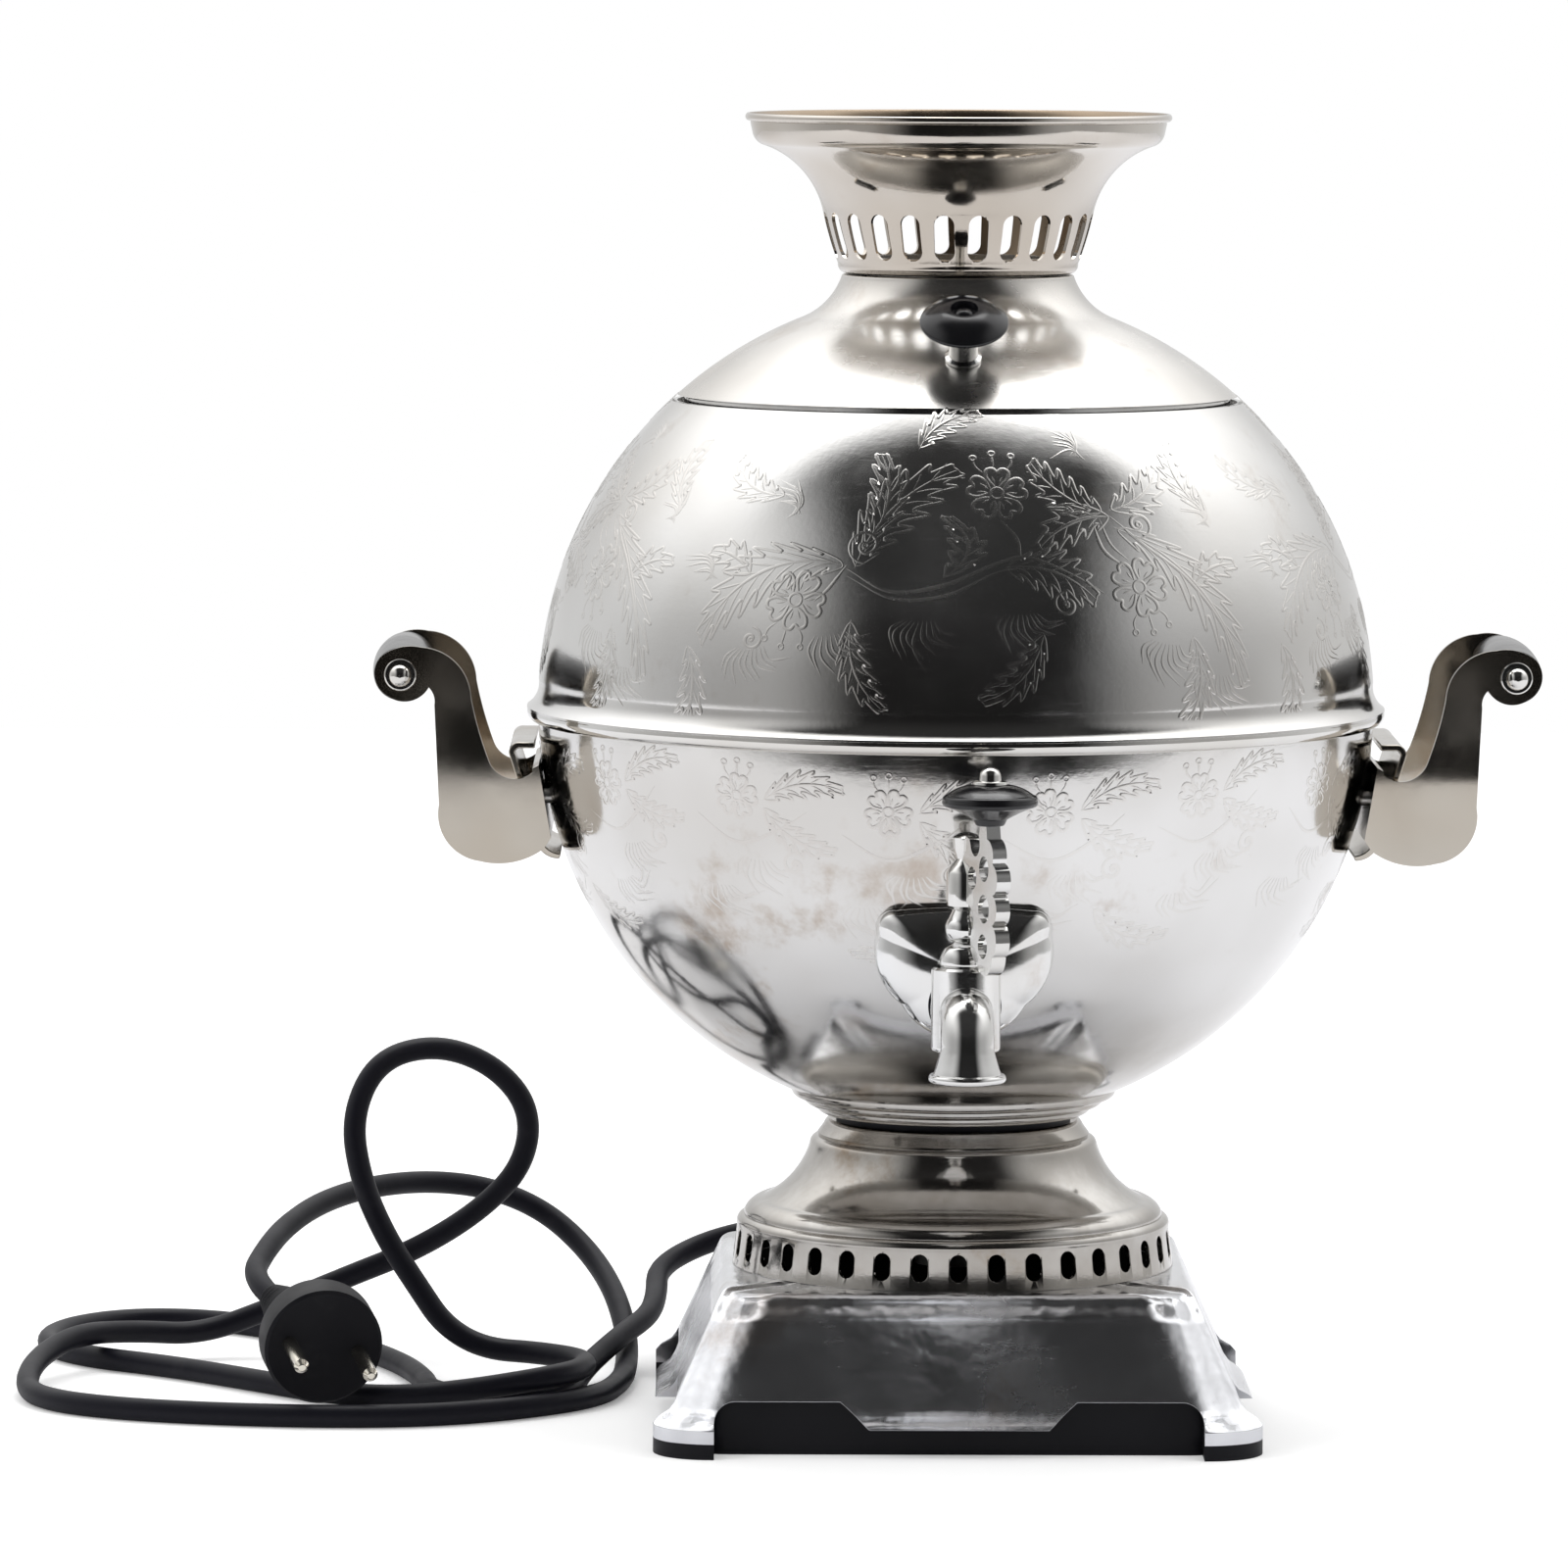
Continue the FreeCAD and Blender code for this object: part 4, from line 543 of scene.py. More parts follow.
def punches(slots, width, height, middle, first):
    """Round-ended bars that point out from the axis, one for each slot."""
    half = width / 2
    bm = bmesh.new()
    end = bmesh.ops.create_circle(bm, cap_ends=True, segments=PUNCH_SIDES,
                                  radius=half / math.cos(math.pi / PUNCH_SIDES))
    for corner in end["verts"]:
        corner.co.y += math.copysign(height / 2 - half, corner.co.y)
    grown = bmesh.ops.extrude_face_region(bm, geom=bm.faces[:])
    far_end = [item for item in grown["geom"] if isinstance(item, bmesh.types.BMVert)]
    bmesh.ops.translate(bm, verts=far_end, vec=(0, 0, PUNCH_TO - PUNCH_FROM))
    way = math.radians(first)
    out = Vector((math.cos(way), math.sin(way), 0))
    spot = Matrix(((-out.y, out.x, 0), (0, 0, 1), out)).transposed().to_4x4()
    spot.translation = out * PUNCH_FROM + Vector((0, 0, middle))
    bmesh.ops.transform(bm, matrix=Matrix.Scale(MM, 4) @ spot, verts=bm.verts)
    bmesh.ops.spin(bm, geom=bm.verts[:] + bm.edges[:] + bm.faces[:], cent=(0, 0, 0), axis=(0, 0, 1),
                   dvec=(0, 0, 0), angle=math.tau * (slots - 1) / slots, steps=slots - 1,
                   use_duplicate=True)
    bmesh.ops.recalc_face_normals(bm, faces=bm.faces)
    mesh = bpy.data.meshes.new("punches")
    bm.to_mesh(mesh)
    bm.free()
    return mesh


def add_bevel(piece, width, segments, angle):
    """A live bevel, in millimetres, on the edges sharper than an angle in degrees."""
    edge = piece.modifiers.new("edge", "BEVEL")
    edge.width = width * MM
    edge.segments = segments
    edge.limit_method = "ANGLE"
    edge.angle_limit = math.radians(angle)


def slotted(name, body, node, material, outline, punch_mesh):
    """A turned ring with slots punched through it and a hair of bevel on their edges."""
    piece = spun(name, body, node, material, outline)
    cutter = bpy.data.objects.new("punches", punch_mesh)
    bpy.context.scene.collection.objects.link(cutter)
    cut = piece.modifiers.new("slots", "BOOLEAN")
    cut.object = cutter
    cut.solver = "EXACT"
    bpy.context.view_layer.update()
    graph = bpy.context.evaluated_depsgraph_get()
    result = bpy.data.meshes.new_from_object(piece.evaluated_get(graph))
    piece.modifiers.clear()
    piece.data = result
    bpy.data.objects.remove(cutter)
    add_bevel(piece, 0.18, 2, 50)
    print(name, "faces with slots:", len(result.polygons))
    return piece


crown = slotted("crown_piece", "crown", "crown", crown_metal, [
    (25.0, 306.7), (29.4, 306.7), (31.3, 307.4, 32.0, 309.4), (34.6, 317.4, 36.2, 324.0),
    (40.6, 332.8, 51.6, 340.6), (53.9, 342.0, 54.9, 344.3), (55.4, 346.6), (55.3, 347.2),
    (56.6, 347.6, 56.6, 348.8), (56.1, 349.2, 55.4, 349.0), (54.3, 346.9), (53.9, 344.9),
    (53.1, 342.9, 51.0, 341.6), (39.9, 333.6, 35.3, 324.4), (33.7, 317.6, 31.1, 309.6),
    (30.6, 308.0, 29.2, 307.6), (25.0, 307.6)], punches(24, 5.4, 12.2, 316.9, -82.5))
vent_ring = slotted("vents", "urn", "vent_ring", nickel, [
    (52.9, 54.6), (56.2, 54.6), (57.4, 54.1, 57.9, 51.6), (59.2, 41.2), (57.9, 41.2), (56.5, 51.6),
    (56.0, 53.3), (52.9, 53.3)], punches(36, 4.4, 7.2, 47.4, -90))

# %% [markdown]
# ## Dark insides
# The insides are painted with shade: a dull brown metal in the crown and near black inside the
# pedestal. The faces that look at the axis get a second finish on the same mesh, which keeps the
# polished outside and the dull inside one piece.

# %%
def darken_inside(piece, material):
    """Gives the faces that look at the axis their own darker metal, as painted shade."""
    piece.data.materials.append(material)
    darkened = 0
    for face in piece.data.polygons:
        away = Vector((face.center.x, face.center.y, 0)).normalized()
        if face.normal.dot(away) < -0.15:
            face.material_index = 1
            darkened += 1
    print(piece.name, "dark faces:", darkened)


darken_inside(crown, painted_shade_brown)
darken_inside(vent_ring, painted_shade_black)
darken_inside(bell, painted_shade_black)

# %% [markdown]
# ## Knobs, ferrules and grips
# The lid's two knobs sit on bright ferrules, square to the lid's slope, and the grips are
# barrels between the handle cheeks. All are turned like the shells, but about an axis of their
# own: each is spun upright at the origin and its mesh is then moved to its foot point.

# %%
SMALL_TURNS = 96
KNOB_LEAN = math.radians(31.5)


def placed(name, body, node, material, outline, places):
    """A small turned part, set on one or more axes that are each a foot point and a direction."""
    whole = bmesh.new()
    for foot, along in places:
        bm = turned(outline, SMALL_TURNS)
        turn = Vector((0, 0, 1)).rotation_difference(Vector(along).normalized())
        spot = Matrix.Translation(Vector(foot) * MM) @ turn.to_matrix().to_4x4()
        bmesh.ops.transform(bm, matrix=spot, verts=bm.verts)
        one = bpy.data.meshes.new("one")
        bm.to_mesh(one)
        bm.free()
        whole.from_mesh(one)
        bpy.data.meshes.remove(one)
    piece = new_piece(name, finish_mesh(name, whole), body, [node], material)
    print(name, "faces:", len(piece.data.polygons))


knob_axes = []
for side in (-1, 1):
    away = Vector((0, side * math.sin(KNOB_LEAN), math.cos(KNOB_LEAN)))
    knob_axes.append((Vector((0, 0, BALL_Z)) + away * BALL_R, away))
placed("lid_knob_pair", "lid", "lid_knobs", knob_black, [
    (2.1, 8.4), (4.4, 8.4), (9.3, 9.6, 11.5, 11.13), (11.55, 11.73, 11.1, 12.33),
    (7.13, 15.1, 4.4, 15.8), (3.6, 15.8), (3.2, 14.0), (2.1, 14.0)], knob_axes)
placed("ferrule_pair", "lid", "knob_ferrules", bright, [
    (2.1, 0.05), (4.8, 0.05), (4.8, 0.9), (3.9, 1.5), (3.9, 8.4), (2.1, 8.4)], knob_axes)
for side, node in ((-1, "grip_left"), (1, "grip_right")):
    placed(node + "_barrel", "urn", node, knob_black, [
        (2.15, -29.4), (6.6, -29.4), (7.0, -28.8), (8.0, 0, 7.0, 28.8), (6.6, 29.4), (2.15, 29.4)],
        [((side * 147.4, 0, 201.4), (0, -1, 0))])

# %% [markdown]
# ## Cast, bent and moulded parts
# The base, the handle cheeks, the tap and the plug are no shapes of revolution, and their CAD
# meshes already have the right form. What they lack is the hair of rounding that catches light
# on every real edge. So each is copied, its loose triangles are welded, and a fine bevel is added.

# %%
def dressed(node, body, material, width, segments=2):
    """A copy of a CAD node with welded corners, smooth faces and fine bevelled edges."""
    bm = bmesh.new()
    bm.from_mesh(frame["nodes"][node].data)
    bmesh.ops.remove_doubles(bm, verts=bm.verts, dist=2e-6)
    bmesh.ops.dissolve_degenerate(bm, edges=bm.edges, dist=2e-6)
    bmesh.ops.dissolve_limit(bm, angle_limit=math.radians(0.4), verts=bm.verts, edges=bm.edges)
    name = node + "_dressed"
    piece = new_piece(name, finish_mesh(name, bm), body, [node], material)
    if width:
        add_bevel(piece, width, segments, 38)
    return piece


edges_of = {
    "base_casting": (cast_metal, 0.7, 3), "base_pan": (pan_black, 0.35), "pan_screws": (steel, 0.2, 1),
    "handle_frame_right": (frame_metal, 0.35, 3), "handle_frame_left": (frame_metal, 0.35, 3),
    "handle_bracket_right": (frame_metal, 0.3), "handle_bracket_left": (frame_metal, 0.3),
    "grip_washers": (bright, 0.1, 1), "grip_cap_nuts": (bright, 0.12), "handle_screws": (steel, 0.2),
    "tap_boss": (nickel, 0.2), "tap_washer": (rubber, 0), "tap_body": (tap_metal, 0.3, 3),
    "cord_gland": (rubber, 0.3), "mouth_ring": (nickel, 0), "lid_skirt": (nickel, 0),
    "clamp_nut": (steel, 0.3), "terminal_block": (pan_black, 0.4), "plug_body": (plug_black, 0.4, 3),
    "plug_boot": (plug_black, 0.2), "plug_pins": (brass, 0.2), "tap_key": (tap_metal, 0.3),
    "tap_knob": (knob_black, 0.3), "tap_knob_nut": (bright, 0.15), "tap_retainer": (bright, 0.15),
    "knob_screws": (knob_black, 0.15),
}
moves_with = {"lid_skirt": "lid", "knob_screws": "lid", "tap_key": "tap_key", "tap_knob": "tap_key",
              "tap_knob_nut": "tap_key", "tap_retainer": "tap_key"}
dress = {node: dressed(node, moves_with.get(node, "urn"), *how) for node, how in edges_of.items()}
print("dressed pieces:", len(dress))

# %% [markdown]
# ## The shield
# Round the tap lies a pressed shield: a bright dish with a rounded top that narrows to its foot.
# A flat plate with a bevel gives none of its bent reflections. So its outline is shrunk ring by
# ring towards the middle while the rings rise, and a wall runs back from the rim to the ball.

# %%
SHIELD_TOP = 147.2
SHIELD_HALF = 22.6
SHIELD_FOOT = 112.6
SHIELD_FRONT = -108.2
SHIELD_RINGS = (0.06, 0.2, 0.35, 0.5, 0.62, 0.73, 0.82, 0.89, 0.94, 0.975, 0.993, 1.0)


def shield_rim():
    """The shield's outline, seen from the front."""
    top, half = SHIELD_TOP, SHIELD_HALF
    return outline_points(
        (-half + 5.0, top - 0.6), (0, top + 0.4, half - 5.0, top - 0.6),
        (half - 0.9, top - 2.4, half, top - 7.0), (half - 0.4, top - 17.0, half - 6.6, top - 25.5),
        (half - 12.0, top - 31.4, 0, SHIELD_FOOT), (12.0 - half, top - 31.4, 6.6 - half, top - 25.5),
        (0.4 - half, top - 17.0, -half, top - 7.0), (0.9 - half, top - 2.4, 5.0 - half, top - 0.6))[:-1]


def ball_front(across, height):
    """Where the front of the globe lies, a quarter of a millimetre proud of it."""
    return -math.sqrt((BALL_R + 0.25) ** 2 - across ** 2 - (height - BALL_Z) ** 2)


def shield():
    """The shield round the tap: a pressed dish whose wall runs back to the ball."""
    rim, middle = shield_rim(), Vector((0, 131.0))
    bm = bmesh.new()
    rows = []
    for share in SHIELD_RINGS:
        rise = 1 - math.sqrt(max(0, 1 - share ** 2.6))
        row = []
        for point in rim:
            at = middle.lerp(point, share)
            edge_y = min(-97.5, ball_front(point.x, point.y) - 0.3)
            front = SHIELD_FRONT + (edge_y - SHIELD_FRONT) * rise
            row.append(bm.verts.new(Vector((at.x, front, at.y)) * MM))
        rows.append(row)
    for share, sunk in ((1.0, 0.1), (0.9, 0.2)):
        row = []
        for point in rim:
            at = middle.lerp(point, share)
            row.append(bm.verts.new(Vector((at.x, ball_front(at.x, point.y) + sunk, at.y)) * MM))
        rows.append(row)
    for near, far in zip(rows, rows[1:]):
        for k in range(len(rim)):
            after = (k + 1) % len(rim)
            bm.faces.new((near[k], near[after], far[after], far[k]))
    bm.faces.new(rows[0])
    bm.faces.new(rows[-1][::-1])
    bmesh.ops.recalc_face_normals(bm, faces=bm.faces)
    mesh = finish_mesh("shield", bm, math.radians(50))
    return new_piece("shield", mesh, "urn", ["escutcheon"], tap_metal)


print("shield faces:", len(shield().data.polygons))

# %% [markdown]
# ## The engraver's strokes
# Garlands run round both halves of the globe: five-petalled flowers, toothed leaves, scrolls and
# sprays of fine strokes. A bump in the finish would blur them, and real cuts would tear the thin
# mesh of the ball. So each stroke is a hair-thin ridge laid on the ball, drawn flat in
# millimetres first and then bent on to it. The class below holds the engraver's few moves.

# %%
CLEAR = 0.012


def heading(angle):
    """A step of one millimetre on the sheet in a direction."""
    return Vector((math.cos(angle), math.sin(angle)))


class Garland:
    """Strokes drawn on a flat sheet, each a centre line with widths."""

    def __init__(self):
        self.strokes = []

    def line(self, points, width=0.75, taper=0.35, ends=0.25):
        """A smooth stroke through points, thinner at its ends."""
        marks = [Vector(point) for point in points]
        guide = [marks[0] * 2 - marks[1]] + marks + [marks[-1] * 2 - marks[-2]]
        course = []
        for before, start, end, after in zip(guide, guide[1:], guide[2:], guide[3:]):
            pieces = max(3, int((end - start).length / 0.8))
            for k in range(pieces):
                share = k / pieces
                course.append(0.5 * (2 * start + (end - before) * share
                                     + (2 * before - 5 * start + 4 * end - after) * share ** 2
                                     + (3 * start - before - 3 * end + after) * share ** 3))
        course.append(marks[-1])
        last = len(course) - 1
        widths = []
        for k in range(last + 1):
            from_end = min(k, last - k) / max(last * taper, 1)
            widths.append(width * (ends + (1 - ends) * min(1, from_end)))
        self.strokes.append((course, widths))

    def loop(self, centre, radius, width=0.6):
        """A small ring."""
        ring = [Vector(centre) + radius * heading(k * math.tau / 10) for k in range(11)]
        self.line(ring, width, 0.1, 0.9)

    def flower(self, centre, radius, turn=0.0, stamens=90.0):
        """Five notched petals round a small eye, with three stamens over them."""
        def spot(angle, reach):
            return Vector(centre) + radius * reach * heading(angle)

        for petal in range(5):
            way = turn + petal * math.tau / 5
            edge = ((-0.34, 0.30), (-0.55, 0.68), (-0.40, 0.97), (-0.16, 1.0), (0, 0.84),
                    (0.16, 1.0), (0.40, 0.97), (0.55, 0.68), (0.34, 0.30))
            self.line([spot(way + swing, reach) for swing, reach in edge], 0.85, 0.1, 0.6)
            for vein in (-0.2, 0.2):
                self.line([spot(way + vein, 0.36), spot(way + vein * 1.3, 0.68)], 0.45)
        self.loop(centre, radius * 0.22)
        for swing in (-0.42, 0.0, 0.42):
            way = math.radians(stamens) + swing
            tip = spot(way, 1.62)
            self.line([spot(way, 0.95), spot(way + swing * 0.2, 1.3), tip], 0.5)
            self.loop(tip, 0.75, 0.5)

    def leaf(self, root, tip, bend, width, teeth=6):
        """A bent leaf with a toothed outline, a middle vein and fine strokes between."""
        run = Vector(tip) - Vector(root)
        across = Vector((-run.y, run.x)).normalized()

        def spine(share):
            return Vector(root) + run * share + across * (bend * 4 * share * (1 - share))

        def half_width(share):
            return width * (math.sin(math.pi * min(1, share * 0.92 + 0.04)) ** 0.8)

        self.line([spine(k / 8) for k in range(9)], 0.9, 0.5, 0.2)
        for edge_of in (across, -across):
            outline = [spine(0.02)]
            for tooth in range(teeth):
                dip = (tooth + 0.35) / teeth
                point = (tooth + 0.95) / teeth
                reach = half_width(min(point, 0.97))
                outline.append(spine(dip) + edge_of * half_width(dip) * 0.62)
                outline.append(spine(min(1, point + 0.05)) + edge_of * reach * 1.05)
                outline.append(spine(min(1, point)) + edge_of * reach * 0.55)
            outline.append(spine(1.0))
            self.line(outline, 0.7, 0.1, 0.5)
            for tooth in range(1, teeth):
                share = tooth / teeth
                reach = half_width(share)
                self.line([spine(share - 0.06), spine(share + 0.05) + edge_of * reach * 0.35,
                           spine(min(1, share + 0.13)) + edge_of * reach * 0.72], 0.5)

    def scroll(self, centre, radius, start, turns=1.4, hand=1):
        """A curl that winds in to a small ring."""
        count = int(12 * turns)
        curl = []
        for k in range(count + 1):
            share = k / count
            reach = radius * (0.16 + 0.84 * (1 - share))
            curl.append(Vector(centre) + reach * heading(start + hand * share * math.tau * turns))
        self.line(curl, 1.0, 0.5, 0.5)
        self.loop(centre, radius * 0.14, 0.7)

    def spray(self, centre, spread, reach, count, way, curl):
        """A fan of short bent strokes."""
        for k in range(count):
            share = k / max(1, count - 1) - 0.5
            angle = way + share * spread
            far = reach * (0.75 + 0.35 * random.random()) * (1 - 0.5 * abs(share))
            turn = curl * (0.6 + 0.8 * random.random())
            start = Vector(centre) + Vector((share * reach * 0.5, 0)) + 1.5 * heading(angle)
            self.line([start, start + far * 0.5 * heading(angle), start + far * heading(angle + turn)], 0.6)

    def bent(self, bm, azimuth, height, lift):
        """Bends the sheet on to the globe round one point of it."""
        rise = math.asin((height - BALL_Z) / BALL_R)
        flat = math.cos(rise)
        middle = Vector((math.sin(azimuth) * flat, -math.cos(azimuth) * flat, math.sin(rise)))
        right = Vector((math.cos(azimuth), math.sin(azimuth), 0))
        upward = middle.cross(right)

        def on_ball(point, proud):
            """A point of the sheet, a little proud of the globe."""
            far = point.length
            away = (right * point.x + upward * point.y) / far if far > 1e-9 else right
            out = middle * math.cos(far / BALL_R) + away * math.sin(far / BALL_R)
            return out * (BALL_R + proud) * MM + GLOBE_MIDDLE

        for course, widths in self.strokes:
            rows = []
            for k, point in enumerate(course):
                ahead = course[min(k + 1, len(course) - 1)] - course[max(k - 1, 0)]
                across = Vector((1, 0))
                if ahead.length > 1e-9:
                    across = Vector((-ahead.y, ahead.x)).normalized()
                half = widths[k] * 0.62
                rows.append([bm.verts.new(on_ball(point - across * half, CLEAR)),
                             bm.verts.new(on_ball(point, CLEAR + lift * widths[k])),
                             bm.verts.new(on_ball(point + across * half, CLEAR))])
            for near, far_row in zip(rows, rows[1:]):
                for side in (0, 1):
                    bm.faces.new((near[side], near[side + 1], far_row[side + 1], far_row[side]))


print("an engraver's moves:", [move for move in vars(Garland) if not move.startswith("_")])

# %% [markdown]
# ## The garland above the belt
# Three flowers, a spray of leaves round them and two long stems, in about the places that they
# have on the real globe. The pattern is a general one of the traditional kind, not a tracing.
# Positions are millimetres from the middle of the sheet.

# %%
upper_garland = Garland()
for flower in (((8, 20), 7.6, 0.3, 96), ((-45, -7), 8.0, 0.9, 250), ((46, -3), 7.8, 0.1, 290)):
    upper_garland.flower(*flower)
for leaf in (((-29, 0), (-2, 27), 4.0, 7.8, 7), ((-26, 6), (-22, 33), -4.0, 5.2, 6),
             ((-31, 1), (-74, -13), -8.5, 7.8, 9), ((38, 16), (19, 5), -2.5, 5.5, 5),
             ((38, 18), (52, 34), -3.0, 5.8, 5), ((36, 17), (17, 30), 3.0, 5.8, 6),
             ((39, 13), (80, -24), 7.0, 6.4, 8), ((10, -1), (34, -8), 3.0, 6.7, 6),
             ((-6, -4), (-5, 13), -6.0, 4.9, 5), ((62, 0), (76, 10), 2.0, 4.6, 4),
             ((-58, 2), (-70, 12), -2.0, 4.6, 4)):
    upper_garland.leaf(*leaf)
for stem, width in (([(-31, 0), (-20, -7), (-6, -6), (8, 0), (16, 2), (28, -2), (36, -6)], 1.0),
                    ([(-31, -2), (-19, -9), (-5, -8.5), (9, -2), (20, -1)], 0.7),
                    ([(14, 1), (13, 7), (9, 12)], 0.8), ([(33, 14), (36, 6), (42, 2)], 0.9),
                    ([(35, 15), (38, 8), (43, 4)], 0.6),
                    ([(38, 16), (48, 9), (60, 2), (72, -10), (80, -26)], 0.9),
                    ([(-31, 1), (-36, -5), (-40, -8)], 0.8)):
    upper_garland.line(stem, width)
for curl in (((-26, 6), 5.0, -1.6, 1.5, -1), ((46, 15), 4.4, 3.6, 1.5, 1),
             ((26, -10), 3.6, 1.6, 1.3, 1), ((-58, -16), 3.4, 1.4, 1.3, -1)):
    upper_garland.scroll(*curl)
for way, at in ((-1.9, (-58, -17)), (-1.3, (-36, -16)), (-1.5, (70, -22)), (-1.7, (54, -16)),
                (-1.4, (14, -12)), (-1.8, (-12, -14)), (1.3, (-46, 16)), (1.8, (30, 32)),
                (1.5, (66, 18)), (1.6, (-70, 2))):
    upper_garland.spray(at, 1.5, 12, 9, way, 0.5)
for leaf in (((-78, -14), (-84, -40), 4.0, 4.6, 6), ((-30, -14), (-22, -38), -3.5, 4.6, 6),
             ((62, -14), (60, -40), 4.0, 4.6, 6), ((-48, 24), (-62, 40), 4.0, 4.8, 6),
             ((-12, 34), (4, 46), 3.0, 4.4, 6), ((66, 24), (56, 44), 3.0, 4.6, 6),
             ((20, -18), (4, -36), 3.5, 4.6, 6)):
    upper_garland.leaf(*leaf)
print("strokes above the belt:", len(upper_garland.strokes))

# %% [markdown]
# ## The garland below the belt
# Below, four smaller flowers stand in a row with a leaf to each side, so a loop draws one
# group four times.

# %%
lower_garland = Garland()
for at in (-62, -20, 22, 64):
    lower_garland.flower((at, 4), 6.0, 0.2 * at, 90)
    lower_garland.leaf((at + 8, 4), (at + 30, 9), 3.0, 3.8, 6)
    lower_garland.leaf((at + 8, 2), (at + 28, -8), -3.0, 3.8, 6)
    lower_garland.scroll((at + 17, -13), 3.6, 1.0, 1.3, 1)
    lower_garland.line([(at - 12, -3), (at, -9), (at + 12, -4), (at + 20, 2)], 0.8)
    lower_garland.spray((at + 6, -12), 1.6, 11, 8, -1.5, 0.5)
    lower_garland.spray((at - 6, -22), 1.6, 12, 8, -1.3, 0.6)
lower_garland.leaf((-6, -24), (-30, -38), 4.0, 4.0, 6)
lower_garland.leaf((34, -24), (56, -36), -4.0, 4.0, 6)
print("strokes below the belt:", len(lower_garland.strokes))

# %% [markdown]
# ## The strokes on the globe
# Each sheet is bent on to the ball at four quarters, which also fills the sides and the back
# that the picture doesn't show. The ridges are open strips, so the faces that point into the ball
# are turned over one by one.

# %%
for name, garland, height, lift in (("upper_engraving", upper_garland, 236.0, 0.14),
                                    ("lower_engraving", lower_garland, 168.0, 0.10)):
    bm = bmesh.new()
    for quarter in range(4):
        garland.bent(bm, quarter * math.pi / 2, height, lift)
    bm.normal_update()
    inward = [face for face in bm.faces
              if face.normal.dot(face.calc_center_median() - GLOBE_MIDDLE) < 0]
    bmesh.ops.reverse_faces(bm, faces=inward)
    mesh = finish_mesh(name, bm, math.radians(80))
    new_piece(name, mesh, "urn", [], engraved)
    print(name, "faces:", len(mesh.polygons))

# %% [markdown]
# ## The free lead
# A round rubber lead leaves the gland at the back, lies in two wide turns on the table, stands up
# in two loops and ends at the plug. A modelled tube would be stiff to edit, so it is a curve with
# a round section. It runs through the same points as the CAD tube and fills the same space.
# Points with two numbers lie on the table.

# %%
SEAT = Vector((-42.0, 70.07, 22.5))
OUT = Vector((0, 1, 13.0 / 28.7)).normalized()
PLUG_AT = Vector((-170, -3, 20.2))
BOOT_ALONG = Vector((-0.51, 0.80, 0.31)).normalized()
BOOT_LENGTH = 27.0
LAY_Z = 3.2
INTO_GLAND = 7
STRAIGHT_OUT, STRAIGHT_IN = 31, 12
boot_end = PLUG_AT + BOOT_ALONG * BOOT_LENGTH
turns_and_loops = [
    (-52, 117, 34), (-68, 118.5, 29.5), (-80, 108, 24), (-80, 92, 18.5), (-82, 78, 15), (-89, 64, 12),
    (-98, 47, 6.5), (-102, 31), (-102.5, 17), (-113, 4.5), (-129, 4), (-141, 16.5), (-143, 38),
    (-150, 66), (-162, 94), (-181, 123), (-204, 147), (-230, 151), (-248, 131), (-252, 102),
    (-239, 78), (-214, 60), (-190, 36), (-169, 13), (-150, 0, 4), (-131, -5, 6.5), (-112, -5, 9.6),
    (-99, 8, 10.4), (-99, 26, 10.4), (-112, 39, 10.4), (-127, 42, 11), (-138, 45, 17), (-145, 48, 27),
    (-154, 52, 40), (-161, 57, 55), (-164, 63, 72), (-157, 71, 87), (-141, 79, 90.5), (-125, 85, 84),
    (-115, 90, 71), (-117, 93, 55), (-129, 96, 42), (-147, 98, 30.5), (-168, 99, 22), (-187, 98, 14),
    (-207, 94, 7), (-224, 84, 9.4), (-240, 68, 11), (-250, 46, 7), (-251, 20), (-243, -1), (-225, -15),
    (-199, -24), (-167, -29), (-138, -26), (-114, -12), (-95, 8), (-89.5, 33), (-88, 59), (-88, 82, 9),
    (-92, 105, 18.5), (-100, 121, 28), (-112, 129, 37.5), (-127, 128, 44), (-144, 120, 47),
    (-160, 104, 47.5), (-173, 86, 45.5), (-182, 66, 41.5), (-187, 47, 37)]
route = [SEAT - OUT * INTO_GLAND, SEAT + OUT * STRAIGHT_OUT]
route += [Vector((*place, LAY_Z)[:3]) for place in turns_and_loops]
route += [boot_end + BOOT_ALONG * STRAIGHT_IN, boot_end]
lead_data = bpy.data.curves.new("lead", "CURVE")
lead_data.dimensions = "3D"
spline = lead_data.splines.new("NURBS")
spline.points.add(len(route) - 1)
for point, place in zip(spline.points, route):
    point.co = (*(place * MM), 1)
spline.order_u = 3
spline.use_endpoint_u = True
lead_data.resolution_u = 10
lead_data.bevel_depth = CORD_RADIUS * MM
lead_data.bevel_resolution = 8
lead_data.use_fill_caps = True
lead_data.materials.append(rubber)
lead = bpy.data.objects.new("lead", lead_data)
bpy.context.scene.collection.objects.link(lead)
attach(lead, "urn")
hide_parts("cord")

# %% [markdown]
# ## The table
# The samovar stands on a plain white sheet that runs out of the picture at the back. The lower
# half of the globe mirrors it, a shade darker than the camera sees it. The light path tells the
# two apart, so that the white ground stays white and the mirrored one keeps the globe's shape.

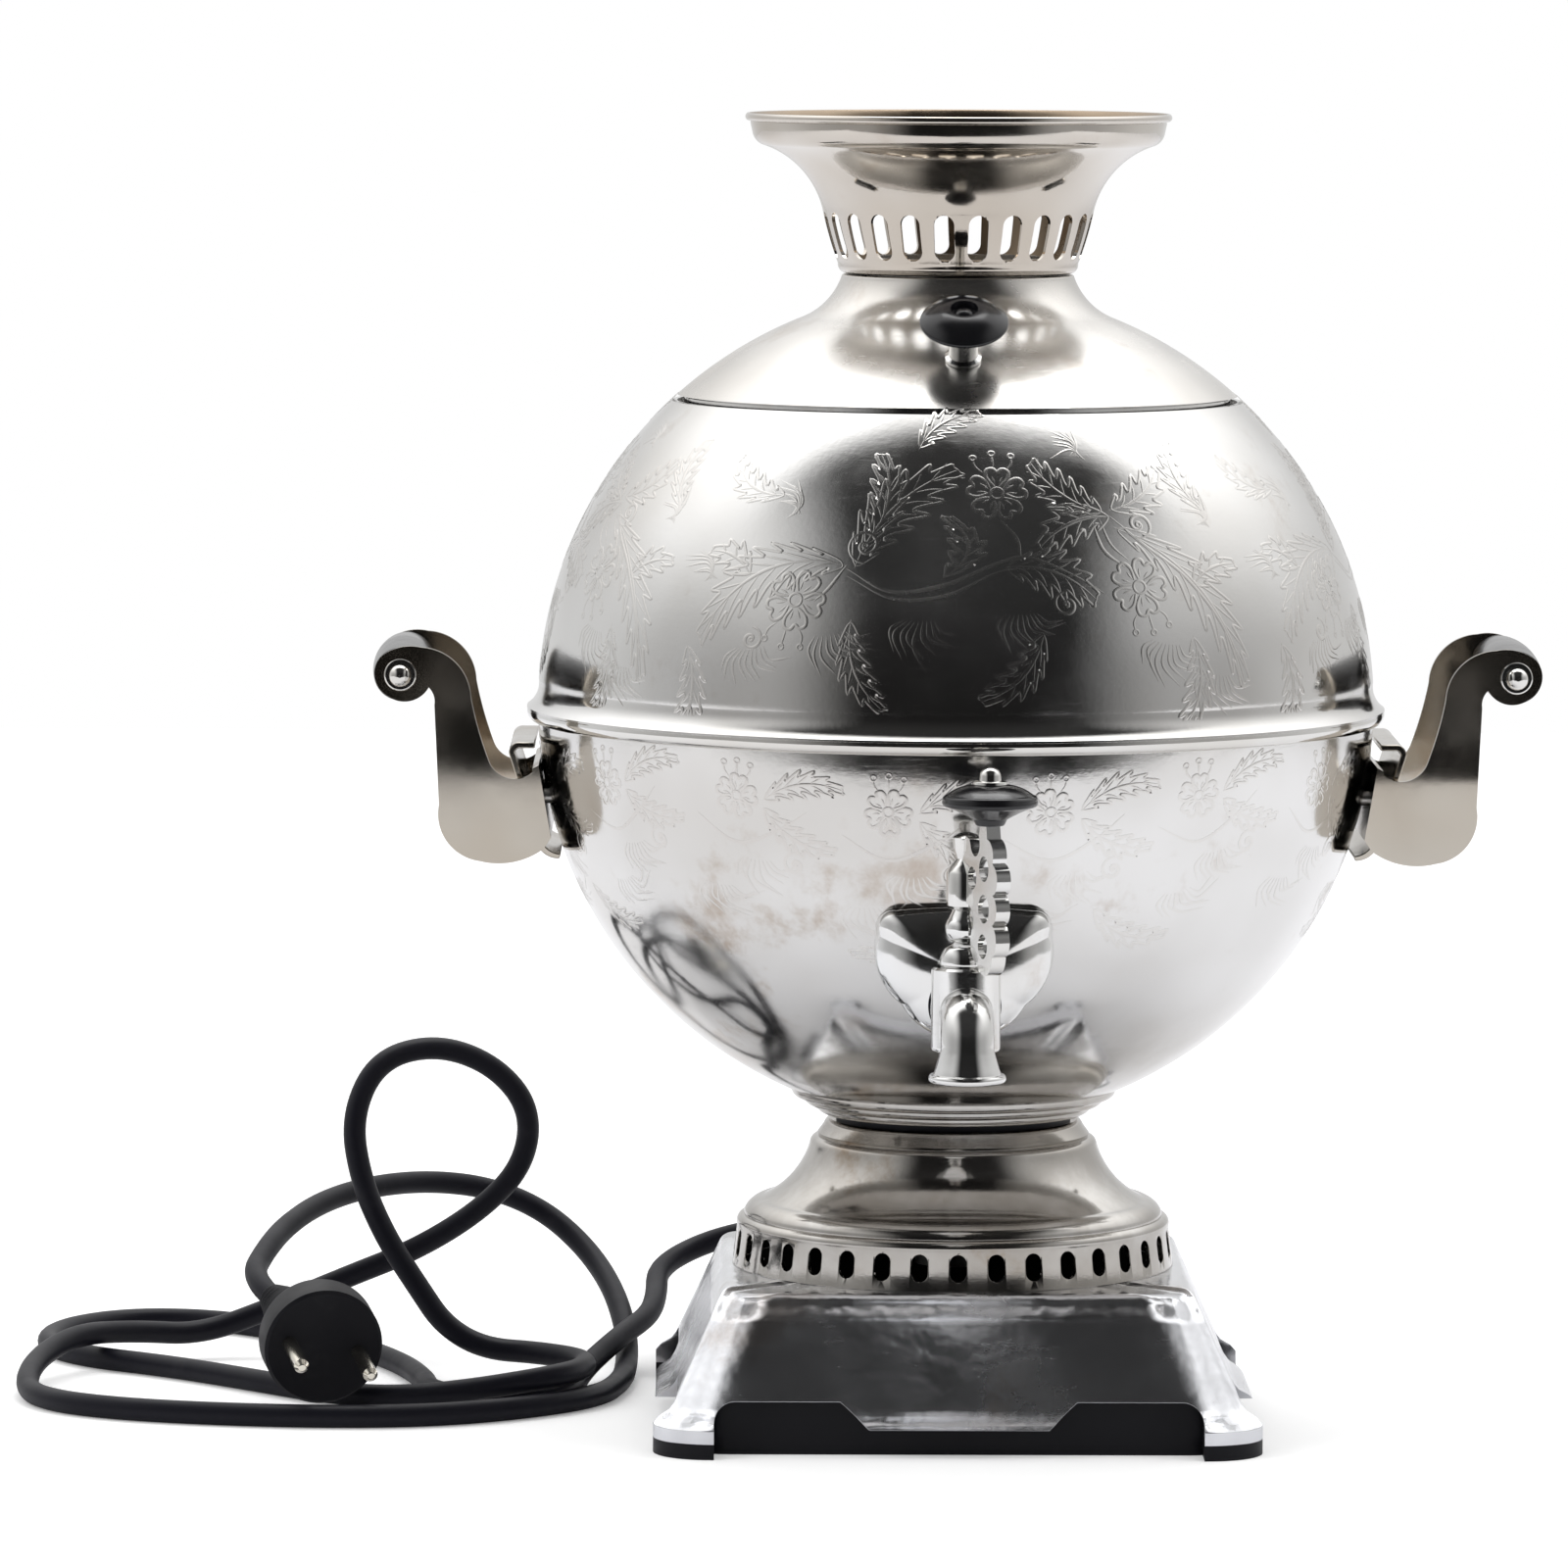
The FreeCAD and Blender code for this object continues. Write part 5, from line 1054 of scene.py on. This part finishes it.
# %%
TABLE_FRONT = -0.72
TABLE_BACK = 2.2
TABLE_HALF = 1.6
bm = bmesh.new()
corners = bmesh.ops.create_grid(bm, x_segments=1, y_segments=1, size=1)["verts"]
bmesh.ops.scale(bm, vec=(TABLE_HALF, (TABLE_BACK - TABLE_FRONT) / 2, 1), verts=corners)
bmesh.ops.translate(bm, vec=(0, (TABLE_BACK + TABLE_FRONT) / 2, 0), verts=corners)
table_mesh = finish_mesh("table", bm)
table = bpy.data.objects.new("table", table_mesh)
bpy.context.scene.collection.objects.link(table)
white = plain("table_white", (0.93, 0.93, 0.93), 0.0, 0.6)
white.shader.inputs["Specular IOR Level"].default_value = 0.0
white.shader.inputs["Emission Color"].default_value = (1, 1, 1, 1)
ray = white.add("ShaderNodeLightPath").outputs
ground = white.blend(ray["Is Glossy Ray"], (0.95, 0.95, 0.95), (0.84, 0.84, 0.86))
white.link(ground, white.shader.inputs["Base Color"])
white.link(white.math("MULTIPLY", ray["Is Camera Ray"], 0.22), white.shader.inputs["Emission Strength"])
table_mesh.materials.append(white.material)
print("table:", 2 * TABLE_HALF, "m wide")

# %% [markdown]
# ## The room
# Polished metal looks like what stands round it. In the picture that is a bright room with one
# dark side behind the camera, and it draws the dark patch on the globe's front. A photograph of
# a room can't be loaded here, so the room is drawn from the direction of the mirrored ray: dark
# towards the camera, bright overhead and at the back. The camera itself sees plain white.

# %%
DARK_MIDDLE = 0.03
DARK_CORE, DARK_EDGE = 0.44, 0.88
DARK_DEPTH = 0.975
SOFT_LIGHT = 0.92

world = bpy.data.worlds.new("room")
bpy.context.scene.world = world
world.use_nodes = True
room = Nodes(world.node_tree)
for old in list(room.tree.nodes):
    room.tree.nodes.remove(old)
direction = room.add("ShaderNodeSeparateXYZ")
room.link(room.add("ShaderNodeTexCoord").outputs["Generated"], direction.inputs[0])
to_right, to_back, upward = direction.outputs
off_middle = room.math("ABSOLUTE", room.math("SUBTRACT", to_right, DARK_MIDDLE))
dark = room.math("MULTIPLY", room.ramp(off_middle, DARK_CORE, DARK_EDGE, 1, 0),
                 room.ramp(to_back, -0.16, 0.08, 1, 0))
tone = room.math("SUBTRACT", 1.0, room.math("MULTIPLY", dark, DARK_DEPTH))
tone = room.math("MULTIPLY", tone, room.ramp(upward, 0.12, 0.95, 0.50, 1.45))
tone = room.math("MULTIPLY", tone, room.ramp(to_back, -0.4, 0.6, 0.92, 1.50))
ray = room.add("ShaderNodeLightPath").outputs
mirrored = room.math("MAXIMUM", ray["Is Glossy Ray"], ray["Is Transmission Ray"])
soft = room.math("MULTIPLY", room.math("SUBTRACT", 1.0, mirrored), SOFT_LIGHT)
lit = room.math("ADD", room.math("MULTIPLY", mirrored, tone), soft)
looked_at = ray["Is Camera Ray"]
lit = room.math("MULTIPLY", room.math("SUBTRACT", 1.0, looked_at), lit)
background = room.add("ShaderNodeBackground")
background.inputs["Color"].default_value = (1, 1, 1, 1)
room.link(room.math("ADD", looked_at, lit), background.inputs["Strength"])
room.link(background.outputs[0], room.add("ShaderNodeOutputWorld").inputs["Surface"])
print("room nodes:", len(room.tree.nodes))

# %% [markdown]
# ## The soft lights
# Three large soft lights fill the shadows from the left, the right and above. Seen in the globe
# they would be hard white squares, so only the top one is mirrored: it makes the highlight on the
# lid. The table keeps a soft shadow.

# %%
def softbox(name, place, aim, width, height, power, mirrored=False):
    """A rectangular area light turned towards a point."""
    data = bpy.data.lights.new(name, "AREA")
    data.shape = "RECTANGLE"
    data.size = width
    data.size_y = height
    data.energy = power
    light = bpy.data.objects.new(name, data)
    bpy.context.scene.collection.objects.link(light)
    light.location = place
    light.rotation_euler = (Vector(aim) - Vector(place)).to_track_quat("-Z", "Y").to_euler()
    light.visible_glossy = mirrored
    return light


softbox("left_box", (-1.7, -0.9, 1.1), (0, 0, 0.18), 0.9, 1.3, 9)
softbox("right_box", (1.8, -0.5, 0.9), (0, 0, 0.18), 0.7, 1.2, 6)
softbox("top_box", (0.05, 0.45, 1.9), (0, 0, 0.2), 1.2, 0.7, 10, mirrored=True)
bpy.context.scene.view_settings.view_transform = "Standard"
print("soft lights:", len(bpy.data.lights))

# %% [markdown]
# ## The end
